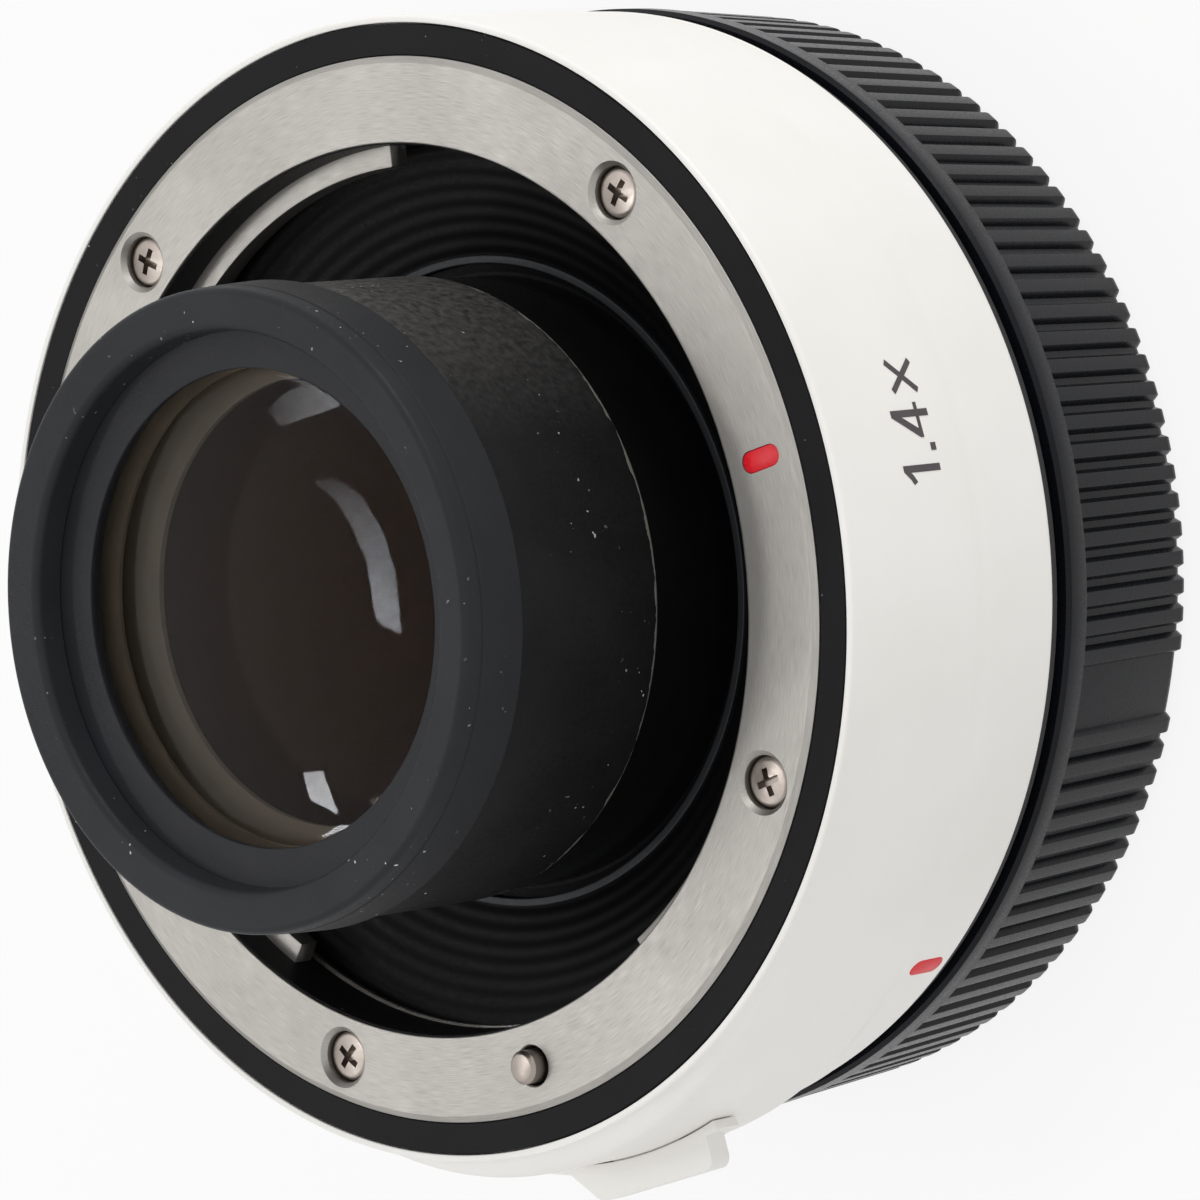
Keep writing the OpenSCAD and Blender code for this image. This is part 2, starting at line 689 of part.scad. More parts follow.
// Thin shim that sets the flange distance
module front_shim() {
    color("goldenrod") difference() {
        ring(skirt_r + seat_gap, ring_r - 2 * seat_gap, chassis_top_z, ring_z);
        front_screw_holes(screw_shank_r + 2 * seat_gap, chassis_top_z - overcut, ring_z + overcut);
        at(lock_angle, pin_circle_r) bar(pin_hole_r, chassis_top_z - overcut, ring_z + overcut);
    }
}

// Leaf spring ring that pulls a mounted lens against the ring
module bayonet_spring() {
    leaf_inset = 8;
    leaf_r = tab_r + 0.2;
    color("lightsteelblue") union() {
        ring(throat_r - 0.4, skirt_r, skirt_z - leaf_t, skirt_z);
        for (t = tab_spans)
            arc_ring(leaf_r, throat_r, skirt_z - leaf_t, skirt_z, t[0] + leaf_inset, t[1] - 2 * leaf_inset);
    }
}

// Ridged funnel between the bayonet and the lens tube
module light_baffle() {
    rim_r = chassis_bore_r - 2 * seat_gap;
    rim_w = 1.3;
    funnel_r = rim_r - rim_w;
    bead_r = 0.35;
    pitch = (funnel_r - lip_r - 2 * bead_r) / ridge_count;
    step = (funnel_top_z - lip_z) / ridge_count;
    start_r = lip_r + 2 * bead_r;
    bead = arc_points(lip_r + bead_r, lip_z, bead_r, 180, 0, 6);
    ridges = [for (i = [0 : ridge_count - 1]) let (r = start_r + i * pitch, z = lip_z + i * step)
        each [[r + 0.15 * pitch, z], [r + 0.45 * pitch, z + step + ridge_h], [r + 0.75 * pitch, z + step + ridge_h],
            [r + pitch, z + step]]];
    color("black") difference() {
        rotate_extrude() polygon(concat(bead, ridges, [[rim_r, funnel_top_z], [rim_r, baffle_seat_z],
            [funnel_r, baffle_seat_z], [lip_r, lip_z - funnel_wall]]));
        arc_ring(front_block_inner_r - 0.3, front_block_outer_r + 0.6, lip_z - 2 * funnel_wall, flange_z,
            contact_angle - front_block_half - 1, 2 * front_block_half + 2);
    }
}

// Main frame inside the barrel
module inner_chassis() {
    front_flange_t = 2.2;
    base_flange_t = 1.5;
    boss_r = screw_shank_r + boss_wall;
    boss_l = screw_shank_l + 0.6;
    ledge_w = 1.1;
    ledge_t = 1;
    pocket_w = carrier_w + 2 * pocket_gap;
    pocket_top = chassis_top_z - front_flange_t;
    color("darkslategray") difference() {
        union() {
            difference() {
                union() {
                    ring(chassis_bore_r, chassis_r, floor_z, chassis_top_z);
                    ring(chassis_bore_r, chassis_flange_r, chassis_top_z - front_flange_t, chassis_top_z);
                    ring(chassis_bore_r, chassis_flange_r, floor_z, floor_z + base_flange_t);
                    for (a = front_screw_angles) at(a, front_screw_circle)
                        bar(boss_r, chassis_top_z - boss_l, chassis_top_z);
                    for (a = rear_screw_angles) at(a, rear_screw_circle) bar(boss_r, floor_z, floor_z + boss_l);
                }
                bar(chassis_bore_r, floor_z - overcut, chassis_top_z + overcut);
            }
            ring(chassis_bore_r - ledge_w, chassis_bore_r + ledge_t, baffle_seat_z - ledge_t, baffle_seat_z);
            ring(optic_r + 2 * seat_gap, chassis_bore_r + ledge_t, web_z, web_top_z);
            for (a = board_screw_angles) at(a, board_screw_circle) bar(standoff_r, board_top_z, web_z + web_t / 2);
        }
        for (a = front_screw_angles) at(a, front_screw_circle)
            bar(screw_shank_r + seat_gap, chassis_top_z - boss_l + 0.3, chassis_top_z + overcut);
        for (a = rear_screw_angles) at(a, rear_screw_circle)
            bar(screw_shank_r + seat_gap, floor_z - overcut, floor_z + boss_l - 0.3);
        for (a = board_screw_angles) at(a, board_screw_circle)
            bar(board_screw_r + seat_gap, board_top_z - overcut, web_top_z + overcut);
        for (a = optic_screw_angles) at(a, optic_screw_circle)
            bar(optic_screw_r + seat_gap, web_z - overcut, web_top_z + overcut);
        rotate([0, 0, lock_angle]) translate([carrier_inner_x - pocket_gap, -pocket_w / 2, floor_z - overcut])
            cube([bore_r, pocket_w, pocket_top - floor_z + overcut]);
        at(lock_angle, pin_circle_r) bar(pin_r + pin_clearance, pocket_top - overcut, chassis_top_z + overcut);
        arc_ring(flex_r - flex_gap, flex_r + flex_t + flex_gap, web_z - overcut, web_top_z + overcut,
            contact_angle - flex_half - 1, 2 * flex_half + 2);
    }
}

// Barrel that carries the middle and rear glass
module optical_barrel() {
    rear_z = cell_base_z + cell_flange_t;
    rear_bore_r = cell_r + seat_gap;
    middle_bore_r = middle_glass_r + seat_gap;
    thread_r = middle_glass_r + 0.5 + seat_gap;
    front_bore_r = spigot_r - 2.5;
    front_bore_z = middle_top_z + middle_ring_t + 0.2;
    color("black") difference() {
        rotate_extrude() polygon([[rear_bore_r, rear_z], [optic_r, rear_z], [optic_r, optic_flange_z],
            [optic_flange_r, optic_flange_z], [optic_flange_r, optic_flange_top_z], [optic_r, optic_flange_top_z],
            [optic_r, root_z], [spigot_r, root_z], [spigot_r, spigot_z - seat_gap],
            [front_bore_r, spigot_z - seat_gap], [front_bore_r, front_bore_z], [thread_r, front_bore_z],
            [thread_r, middle_top_z], [middle_bore_r, middle_top_z], [middle_bore_r, middle_seat_z],
            [middle_seat_r, middle_seat_z], [middle_seat_r, cell_top_z + 0.3], [rear_bore_r, cell_top_z + 0.3]]);
        for (a = optic_screw_angles) at(a, optic_screw_circle)
            bar(optic_screw_r + seat_gap, optic_flange_z - overcut, optic_flange_top_z + overcut);
        for (s = [-1, 1]) at(contact_angle + s * lug_screw_half, front_contact_r)
            bar(lug_screw_r + seat_gap, optic_flange_z - overcut, optic_flange_top_z + overcut);
    }
}

// Focus shim below the optical barrel's flange
module optical_shim() {
    color("goldenrod") difference() {
        ring(optic_r + 2 * seat_gap, optic_flange_r - 2 * seat_gap, web_top_z, optic_flange_z);
        for (a = optic_screw_angles) at(a, optic_screw_circle)
            bar(optic_screw_r + 2 * seat_gap, web_top_z - overcut, optic_flange_z + overcut);
    }
}

// Three screws that hold the optical barrel
module optical_screws() {
    shank_l = optic_flange_t + optic_shim_t + web_t - thread_short;
    color("dimgray") for (a = optic_screw_angles) at(a, optic_screw_circle) translate([0, 0, optic_flange_top_z])
        cross_screw(optic_screw_head_r, optic_screw_head_h, optic_screw_r, shank_l);
}

// Front tube that carries the front glass and the bumper
module lens_tube() {
    chamfer = 0.25;
    thread_r = front_glass_r + thread_h + seat_gap;
    color("black") rotate_extrude() polygon([[joint_r, root_z], [tube_r - chamfer, root_z],
        [tube_r, root_z + chamfer], [tube_r, bumper_z], [nose_r, bumper_z], [nose_r, nose_z], [thread_r, nose_z],
        [thread_r, front_glass_z], [tube_bore_r, front_glass_z], [tube_bore_r, tube_ledge_z],
        [tube_seat_r, tube_ledge_z], [tube_seat_r, spigot_z], [joint_r, spigot_z]]);
}

// Rubber bumper over the tube's nose
module bumper_ring() {
    inner_r = nose_r + seat_gap;
    mouth_r = front_glass_r + 0.25;
    lip_radius = (bumper_r - mouth_r) / 2 - 0.15;
    crest_z = bumper_top_z - lip_radius;
    step_z = nose_z + seat_gap;
    color("black") rotate_extrude() polygon(concat(
        [[inner_r, bumper_z], [bumper_r - 0.2, bumper_z], [bumper_r, bumper_z + 0.2]],
        arc_points(bumper_r - lip_radius, crest_z, lip_radius, 0, 180, 10),
        [[mouth_r, step_z + 0.4], [mouth_r, step_z], [inner_r, step_z]]));
}

// Ring that holds the front element
module front_retainer() {
    color("black") rotate_extrude() polygon([[retainer_bore_r + 0.5, front_glass_z],
        [front_glass_r + thread_h, front_glass_z], [front_glass_r + thread_h, nose_z], [retainer_bore_r, nose_z],
        [retainer_bore_r, nose_z - 0.35]]);
}

// Front element
module lens_element_1() {
    lens_element(0, front_glass_r, spacer_top_z, front_glass_z);
}

// Spacer between the front element and the front doublet
module front_spacer() {
    color("black") ring(spacer_bore_r, front_glass_r, doublet_top_z, spacer_top_z);
}

// Front half of the front doublet
module lens_element_2() {
    lens_element(1, front_glass_r, doublet_mid_z + cement, doublet_top_z);
}

// Rear half of the front doublet
module lens_element_3() {
    lens_element(2, front_glass_r, tube_ledge_z, doublet_mid_z);
}

// Ring that holds the middle doublet
module middle_retainer() {
    color("black") ring(middle_ring_r, middle_glass_r + 0.5, middle_top_z, middle_top_z + middle_ring_t);
}

// Front half of the middle doublet
module lens_element_4() {
    lens_element(3, middle_glass_r, middle_mid_z + cement, middle_top_z);
}

// Rear half of the middle doublet
module lens_element_5() {
    lens_element(4, middle_glass_r, middle_seat_z, middle_mid_z);
}

// Cell that carries the rear doublet
module rear_cell() {
    thread_r = rear_glass_r + thread_h + seat_gap;
    glass_bore_r = rear_glass_r + seat_gap;
    color("black") rotate_extrude() polygon([[thread_r, cell_base_z], [cell_flange_r, cell_base_z],
        [cell_flange_r, cell_base_z + cell_flange_t], [cell_r, cell_base_z + cell_flange_t], [cell_r, cell_top_z],
        [cell_seat_r, cell_top_z], [cell_seat_r, cell_seat_z], [glass_bore_r, cell_seat_z],
        [glass_bore_r, rear_glass_z], [thread_r, rear_glass_z]]);
}

// Front half of the rear doublet
module lens_element_6() {
    lens_element(5, rear_glass_r, rear_mid_z + cement, cell_seat_z);
}

// Rear half of the rear doublet
module lens_element_7() {
    lens_element(6, rear_glass_r, rear_glass_z, rear_mid_z);
}

// Ring that holds the rear doublet
module rear_retainer() {
    color("black") ring(rear_ring_r, rear_glass_r + thread_h, rear_glass_z - rear_ring_t, rear_glass_z);
}

// Plate with a rectangular light opening behind the rear glass
module rear_mask() {
    mask_t = 0.8;
    side_inset = 0.4;
    top_inset = 3.9;
    opening = [2 * (rear_ring_r - side_inset), 2 * (rear_ring_r - top_inset)];
    color("black") difference() {
        bar(cell_flange_r, cell_base_z - mask_t, cell_base_z);
        translate([-opening[0] / 2, -opening[1] / 2, cell_base_z - mask_t - overcut])
            cube([opening[0], opening[1], mask_t + 2 * overcut]);
    }
}

// Dished cover between the rear cell and the camera side ring
module rear_cover() {
    wall_r = bayonet_bore_r - 2 * seat_gap;
    shelf_r = bayonet_bore_r + cover_wall;
    color("black") difference() {
        rotate_extrude() polygon([[cell_flange_r + cover_gap, cover_z], [wall_r, cover_z], [wall_r, camera_face_z],
            [shelf_r, camera_face_z], [shelf_r, camera_face_z + cover_flange_t],
            [wall_r - cover_wall, camera_face_z + cover_flange_t], [wall_r - cover_wall, cover_top_z],
            [cell_flange_r + cover_gap, cover_top_z]]);
        arc_ring(rear_block_inner_r - 0.1, rear_block_outer_r + 0.1, cover_z - overcut, cover_top_z + overcut / 2,
            contact_angle - rear_block_half - 0.3, 2 * rear_block_half + 0.6);
    }
}

// Camera side ring with three male tabs
module camera_mount_ring() {
    inner_step_r = bayonet_bore_r + 1;
    head_z = camera_face_z + screw_sink + screw_head_h;
    socket_depth = 1.5;
    color("silver") difference() {
        union() {
            rotate_extrude() polygon([[bayonet_bore_r, bayonet_end_z], [bayonet_r - 0.2, bayonet_end_z],
                [bayonet_r, bayonet_end_z + 0.2], [bayonet_r, camera_face_z], [plate_r - 0.3, camera_face_z],
                [plate_r, camera_face_z + 0.3], [plate_r, plate_z], [inner_step_r, plate_z],
                [inner_step_r, camera_face_z], [bayonet_bore_r, camera_face_z]]);
            for (i = [0 : len(tab_spans) - 1]) arc_ring(bayonet_r - bayonet_wall / 2, male_tab_r, male_tab_z,
                male_tab_top_z, gap_start(i) + tab_margin - lock_turn, gap_width(i) - 2 * tab_margin);
        }
        for (a = rear_screw_angles) at(a, rear_screw_circle) {
            bar(screw_shank_r + 2 * seat_gap, camera_face_z - overcut, plate_z + overcut);
            bar(screw_head_r + seat_gap, camera_face_z - overcut, head_z);
        }
        at(lock_angle, pin_circle_r) bar(pin_hole_r, camera_face_z - overcut, camera_face_z + socket_depth);
    }
}

// Four screws that hold the camera side ring
module camera_mount_screws() {
    head_z = camera_face_z + screw_sink + screw_head_h;
    color("gray") for (a = rear_screw_angles) at(a, rear_screw_circle) translate([0, 0, head_z]) rotate([180, 0, 0])
        cross_screw(screw_head_r, screw_head_h, screw_shank_r, screw_shank_l);
}

// Rubber ring at the barrel's rear edge
module drip_seal() {
    color("black") ring(plate_r + seat_gap, barrel_r - rear_taper - 0.35, barrel_rear_z - seal_t, barrel_rear_z);
}

// Angle of a contact, counted from zero
function contact_at(i) = contact_angle + (i - (contact_count - 1) / 2) * contact_pitch;

// Insulating block of the rear contacts
module rear_contact_block() {
    color("black") difference() {
        union() {
            arc_ring(rear_block_inner_r, rear_block_outer_r, rear_block_z, cover_top_z + rear_base_t,
                contact_angle - rear_block_half, 2 * rear_block_half);
            arc_ring(rear_block_inner_r - rear_base_w, rear_block_outer_r + rear_base_w, cover_top_z, cover_top_z + rear_base_t,
                contact_angle - rear_base_half, 2 * rear_base_half);
        }
        for (i = [0 : contact_count - 1]) at(contact_at(i), rear_contact_r)
            bar(pad_r + 0.02, rear_block_z - overcut, rear_block_z + pad_t);
    }
}

// Gilt pads that meet the camera's pins
module rear_contacts() {
    color("gold") for (i = [0 : contact_count - 1]) at(contact_at(i), rear_contact_r)
        bar(pad_r, rear_block_z - 0.05, rear_block_z + pad_t);
}

// Insulating block of the front contact pins
module front_contact_block() {
    color("black") difference() {
        union() {
            arc_ring(front_block_inner_r, front_block_outer_r, front_block_z, front_block_top_z,
                contact_angle - front_block_half, 2 * front_block_half);
            arc_ring(front_block_inner_r, optic_flange_r - 0.1, front_block_z, front_block_z + front_lug_t,
                contact_angle - front_lug_half, 2 * front_lug_half);
        }
        for (i = [0 : contact_count - 1]) at(contact_at(i), front_contact_r) {
            bar(contact_r + seat_gap, spring_floor_z, front_block_top_z + overcut);
            bar(spring_bore_r, spring_floor_z, front_block_top_z - guide_t);
        }
        for (s = [-1, 1]) at(contact_angle + s * lug_screw_half, front_contact_r)
            bar(lug_screw_r + seat_gap, front_block_z - overcut, front_block_z + front_lug_t + overcut);
    }
}

// Sprung pins that meet the lens's pads
module front_contact_pins() {
    tip_bevel = 0.15;
    tip_z = front_block_top_z + contact_rise;
    color("gold") for (i = [0 : contact_count - 1]) at(contact_at(i), front_contact_r) rotate_extrude()
        polygon([[0, collar_top_z - collar_t], [collar_r, collar_top_z - collar_t], [collar_r, collar_top_z],
            [contact_r, collar_top_z], [contact_r, tip_z - tip_bevel], [contact_r - tip_bevel, tip_z], [0, tip_z]]);
}

// Springs below the contact pins
module contact_springs() {
    color("silver") for (i = [0 : contact_count - 1]) at(contact_at(i), front_contact_r)
        coil(contact_coil_r, contact_wire_r, spring_floor_z, collar_top_z - collar_t - seat_gap, contact_turns, 6, 4);
}

// Two screws that hold the front contact block
module contact_block_screws() {
    color("dimgray") for (s = [-1, 1]) at(contact_angle + s * lug_screw_half, front_contact_r)
        translate([0, 0, front_block_z + front_lug_t])
        cross_screw(lug_screw_head_r, lug_screw_head_h, lug_screw_r, front_lug_t + optic_flange_t - thread_short);
}

// Ring-shaped circuit board below the chassis web
module circuit_board() {
    color("seagreen") difference() {
        ring(board_inner_r, board_outer_r, board_z, board_top_z);
        for (a = board_screw_angles) at(a, board_screw_circle)
            bar(board_screw_r + seat_gap, board_z - overcut, board_top_z + overcut);
    }
}

// Chips and connectors on the board, each [angle, size along the radius, size across, height]
chips = [[300, 6, 6, 0.9], [325, 3, 4, 0.8], [230, 5, 5, 0.9], [250, 1.2, 2, 0.6], [205, 2, 3, 0.8],
    [140, 3.2, 6, 1.1], [120, 1.2, 2, 0.6], [50, 3, 4, 0.8], [30, 1.2, 2, 0.6], [340, 1.2, 2, 0.6]];
module board_chips() {
    color("darkslategray") for (c = chips) at(c[0], chip_circle)
        translate([-c[1] / 2, -c[2] / 2, board_top_z]) cube([c[1], c[2], c[3]]);
}

// Three screws that hold the board
module board_screws() {
    color("dimgray") for (a = board_screw_angles) at(a, board_screw_circle) translate([0, 0, board_z])
        rotate([180, 0, 0]) cross_screw(board_screw_head_r, board_screw_head_h, board_screw_r, board_t + standoff_h);
}

// Flat cable from the board to the front contacts
module front_flex() {
    color("orange") arc_ring(flex_r, flex_r + flex_t, board_top_z, front_block_z + flex_lap, contact_angle - flex_half,
        2 * flex_half);
}

// Flat cable from the rear contacts to the board
module rear_flex() {
    color("orange") arc_ring(rear_contact_r, rear_contact_r + flex_t, cover_top_z + rear_base_t, board_z,
        contact_angle - flex_half, 2 * flex_half);
}

// Lever outside the barrel, with a fin for the thumb and a foot through the barrel's slot
module lock_lever() {
    fin_tip_r = lever_outer_r + fin_h;
    fin_shift = 0.4;
    fin_y0 = -fin_l / 2 + fin_shift;
    fin_y1 = fin_l / 2 + fin_shift;
    flare = 2.4;
    corner = 0.8;
    fin_seat = 0.2;
    root = lever_inner_r - 0.5;
    foot_x = carrier_outer_x;
    foot_top = lever_inner_r + bulge_offset + lever_plate_t / 2;
    color("ivory") difference() {
        union() {
            at_bulge() {
                intersection() {
                    arc_ring(lever_inner_r, lever_outer_r, lever_rear_z, lever_front_z, -lever_long_angle,
                        lever_long_angle + lever_short_angle);
                    translate([lever_crown, 0, 0])
                        bar(lever_outer_r - lever_crown, lever_rear_z - overcut, lever_front_z + overcut);
                }
                difference() {
                    translate([0, 0, lever_front_z - fin_t]) linear_extrude(fin_t) polygon(concat(
                        [[root, fin_y0 - flare]],
                        arc_points(fin_tip_r - corner, fin_y0 + corner, corner, 300, 360, 5),
                        arc_points(fin_tip_r - corner, fin_y1 - corner, corner, 0, 90, 5),
                        [[root, fin_y1 + 0.05]]));
                    bar(lever_inner_r + fin_seat, lever_front_z - fin_t - overcut, lever_front_z + overcut);
                }
            }
            rotate([0, 0, lock_angle]) translate([foot_x, -foot_w / 2, foot_z])
                cube([foot_top - foot_x, foot_w, foot_l]);
        }
        lever_screw_holes(lever_screw_r + 0.02, foot_x - overcut, foot_x + 1.8);
    }
}

// Radial holes for the two lever screws
module lever_screw_holes(r, x0, x1) {
    rotate([0, 0, lock_angle]) for (s = [-1, 1])
        translate([x0, s * lever_screw_y, foot_z + foot_l / 2]) rotate([0, 90, 0]) cylinder(r = r, h = x1 - x0);
}

// Two screws from the carrier into the lever's foot
module lever_screws() {
    color("gray") rotate([0, 0, lock_angle]) for (s = [-1, 1])
        translate([lever_screw_x, s * lever_screw_y, foot_z + foot_l / 2]) rotate([0, -90, 0])
        cross_screw(lever_screw_head_r, lever_screw_head_t, lever_screw_r, carrier_outer_x - lever_screw_x + 1.7);
}

// Slider that joins the lever to the pin
module lock_carrier() {
    color("slategray") difference() {
        rotate([0, 0, lock_angle]) translate([carrier_inner_x, -carrier_w / 2, carrier_z])
            cube([carrier_outer_x - carrier_inner_x, carrier_w, carrier_t]);
        at(lock_angle, pin_circle_r) bar(pin_r + 0.01, carrier_z + 0.4, carrier_z + carrier_t + overcut);
        lever_screw_holes(lever_screw_r + seat_gap, carrier_inner_x - overcut, carrier_outer_x + overcut);
        lever_screw_holes(lever_screw_head_r + seat_gap, carrier_inner_x - overcut, lever_screw_x);
    }
}

// Pin that drops into a mounted lens
module lock_pin() {
    bevel = 0.22;
    tip_z = flange_z + pin_rise;
    color("silver") at(lock_angle, pin_circle_r) rotate_extrude() polygon([[0, carrier_z + 0.4],
        [pin_r, carrier_z + 0.4], [pin_r, tip_z - bevel], [pin_r - bevel, tip_z], [0, tip_z]]);
}

// Spring that pushes the pin out
module lock_spring() {
    color("silver") at(lock_angle, pin_circle_r)
        coil(lock_coil_r, lock_wire_r, floor_z, carrier_z, lock_turns, 12, 8);
}

// Stud that keeps the lock spring in place
module spring_stud() {
    color("silver") at(lock_angle, pin_circle_r) bar(stud_r, plate_z, floor_z + stud_rise);
}

// Angle of a rib's middle, and whether the plain patch takes its place
function rib_at(i) = i * 360 / rib_count + rib_phase;
function is_plain(i) = abs(rib_at(i) - plain_angle) < plain_pitches * 180 / rib_count;

// Outline of the ribs seen along the axis, from inside the wall to beyond their tops
function rib_outline(r_in, r_out) = let (half = (1 - groove_share) * 180 / rib_count)
    [for (i = [0 : rib_count - 1]) if (!is_plain(i))
        each [for (p = [[r_in, -half], [r_out, -half], [r_out, half], [r_in, half]])
            [p[0] * cos(rib_at(i) + p[1]), p[0] * sin(rib_at(i) + p[1])]]];

// Twist-on cap over the camera side bayonet
module rear_cap() {
    edge = 0.4;
    rim_edge_w = 0.22;
    rim_edge_h = 0.35;
    rib_start_z = 0.3;
    rib_edge = 0.35;
    rib_lap = 0.05;
    floor_back_r = cap_back_r - groove_depth;
    floor_front_r = cap_r - groove_depth;
    color("black") difference() {
        union() {
            difference() {
                union() {
                    rotate_extrude() polygon([[0, 0], [floor_back_r - edge, 0], [floor_back_r, edge],
                        [floor_front_r, cap_rib_z], [cap_rim_r, cap_rib_z], [cap_rim_r, cap_rim_z - rim_edge_h],
                        [cap_rim_r - rim_edge_w, cap_rim_z], [0, cap_rim_z]]);
                    intersection() {
                        rotate_extrude() polygon([[0, rib_start_z], [cap_back_r - rib_edge, rib_start_z],
                            [cap_back_r, rib_start_z + rib_edge], [cap_r, cap_rib_z + rib_lap],
                            [0, cap_rib_z + rib_lap]]);
                        linear_extrude(cap_rim_z) polygon(rib_outline(cap_inner_r, cap_rim_r + overcut));
                    }
                }
                bar(cap_inner_r, cap_floor_t, cap_rim_z + overcut);
            }
            ring(collar_inner_r, collar_inner_r + collar_wall, cap_floor_t - 0.1, cap_tab_z + cap_tab_t);
            for (t = tab_spans)
                arc_ring(cap_tab_r, collar_inner_r + 0.1, cap_tab_z, cap_tab_z + cap_tab_t, t[0], t[1]);
        }
        cap_line_shape(0, cap_rim_r + overcut);
    }
}

// The cap's alignment line, cut from a shallow depth to a radius
module cap_line_shape(gap, r_out) {
    line_depth = 0.25;
    rotate([0, 0, rear_mark_angle]) translate([cap_rim_r - line_depth, -cap_line_w / 2 + gap, cap_rib_z + 0.2])
        cube([r_out - cap_rim_r + line_depth, cap_line_w - 2 * gap, cap_rim_h - 0.6]);
}

// White line that meets the red mark on the barrel
module cap_mark() {
    color("white") cap_line_shape(0.02, cap_rim_r - 0.03);
}

outer_barrel();
front_trim_ring();
lens_mount_ring();
lens_mount_screws();
front_index_mark();
front_shim();
bayonet_spring();
light_baffle();
inner_chassis();
optical_barrel();
optical_shim();
optical_screws();
lens_tube();
bumper_ring();
front_retainer();
lens_element_1();
front_spacer();
lens_element_2();
lens_element_3();
middle_retainer();
lens_element_4();
lens_element_5();
rear_cell();
lens_element_6();
lens_element_7();
rear_retainer();
rear_mask();
rear_cover();
camera_mount_ring();
camera_mount_screws();
drip_seal();
rear_contact_block();
rear_contacts();
front_contact_block();
front_contact_pins();
contact_springs();
contact_block_screws();
circuit_board();
board_chips();
board_screws();
front_flex();
rear_flex();
lock_lever();
lever_screws();
lock_carrier();
lock_pin();
lock_spring();
spring_stud();
rear_index_mark();
rear_cap();
cap_mark();
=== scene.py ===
"""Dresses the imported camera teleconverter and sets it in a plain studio.

Meshes are worked in millimetres and turned to metres when a piece is made.
Angles turn about +Z, the optical axis, and are in degrees.
"""
import logging
import math
from dataclasses import dataclass
from enum import Enum
from typing import Sequence

import bmesh
import bpy
from mathutils import Matrix, Vector


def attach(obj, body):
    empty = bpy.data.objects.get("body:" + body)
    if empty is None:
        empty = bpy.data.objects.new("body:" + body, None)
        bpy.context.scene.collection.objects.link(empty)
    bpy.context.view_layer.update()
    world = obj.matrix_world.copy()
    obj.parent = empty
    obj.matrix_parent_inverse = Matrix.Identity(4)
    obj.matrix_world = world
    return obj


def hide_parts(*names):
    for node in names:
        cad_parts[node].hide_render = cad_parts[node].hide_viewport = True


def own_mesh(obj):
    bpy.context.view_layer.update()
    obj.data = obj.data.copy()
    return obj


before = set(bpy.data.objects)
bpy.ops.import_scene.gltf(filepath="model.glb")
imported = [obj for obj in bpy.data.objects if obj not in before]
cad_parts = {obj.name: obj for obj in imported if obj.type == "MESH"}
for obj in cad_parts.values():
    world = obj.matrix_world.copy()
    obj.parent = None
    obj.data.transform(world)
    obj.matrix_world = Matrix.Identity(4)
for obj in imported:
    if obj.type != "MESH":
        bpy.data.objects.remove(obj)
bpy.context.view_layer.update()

LOG = logging.getLogger("teleconverter")
MM = 0.001
SMOOTH_ANGLE = math.radians(32)
# Flat stretch kept beside each round corner, so that the faces next to it stay flat to the eye
GUARD = 0.08

Point = tuple[float, float]
Corner = tuple[float, float, float]
Mesh = bmesh.types.BMesh
Tree = bpy.types.NodeTree
Socket = bpy.types.NodeSocket


class Body(Enum):
    """The rigid bodies that pieces ride on."""

    CONVERTER = "converter"
    LOCK = "lock"
    CAP = "cap"


class Join(Enum):
    """How two solids are combined."""

    ADD = "UNION"
    CUT = "DIFFERENCE"


def linear(code: str) -> tuple[float, float, float, float]:
    """Turns an sRGB hex colour to linear values.

    Args:
        code: six hex digits after a hash.

    Returns:
        Red, green, blue and a full alpha.
    """
    parts = [int(code[i:i + 2], 16) / 255 for i in (1, 3, 5)]
    red, green, blue = (p / 12.92 if p <= 0.04045 else ((p + 0.055) / 1.055) ** 2.4 for p in parts)
    return red, green, blue, 1.0


def per_metre(size_mm: float) -> float:
    """Texture scale at which one feature is about this many millimetres wide."""
    return 1 / (size_mm * MM)


def feed(tree: Tree, node: bpy.types.Node, inputs: dict) -> None:
    """Sets or links the inputs of a shader node.

    Args:
        tree: the node tree of a material or world.
        node: the node.
        inputs: input name or index to a value or to another node's output.
    """
    for key, value in inputs.items():
        if isinstance(value, Socket):
            tree.links.new(value, node.inputs[key])
        else:
            node.inputs[key].default_value = value


def add_node(tree: Tree, kind: str, inputs: dict, **settings) -> bpy.types.Node:
    """Adds a shader node with its settings and links.

    Args:
        tree: the node tree of a material or world.
        kind: the node's type name.
        inputs: input name or index to a value or to another node's output.
        settings: properties of the node itself.

    Returns:
        The new node.
    """
    node = tree.nodes.new(kind)
    for key, value in settings.items():
        setattr(node, key, value)
    feed(tree, node, inputs)
    return node


def calc(tree: Tree, operation: str, first: object, second: object) -> Socket:
    """Adds one step of arithmetic.

    Args:
        tree: the node tree of a material or world.
        operation: the step's type name.
        first: value or socket.
        second: value or socket.

    Returns:
        The result's socket.
    """
    return add_node(tree, "ShaderNodeMath", {0: first, 1: second}, operation=operation).outputs[0]


def object_place(tree: Tree) -> Socket:
    """Coordinates of the object's own frame, in metres."""
    return add_node(tree, "ShaderNodeTexCoord", {}).outputs["Object"]


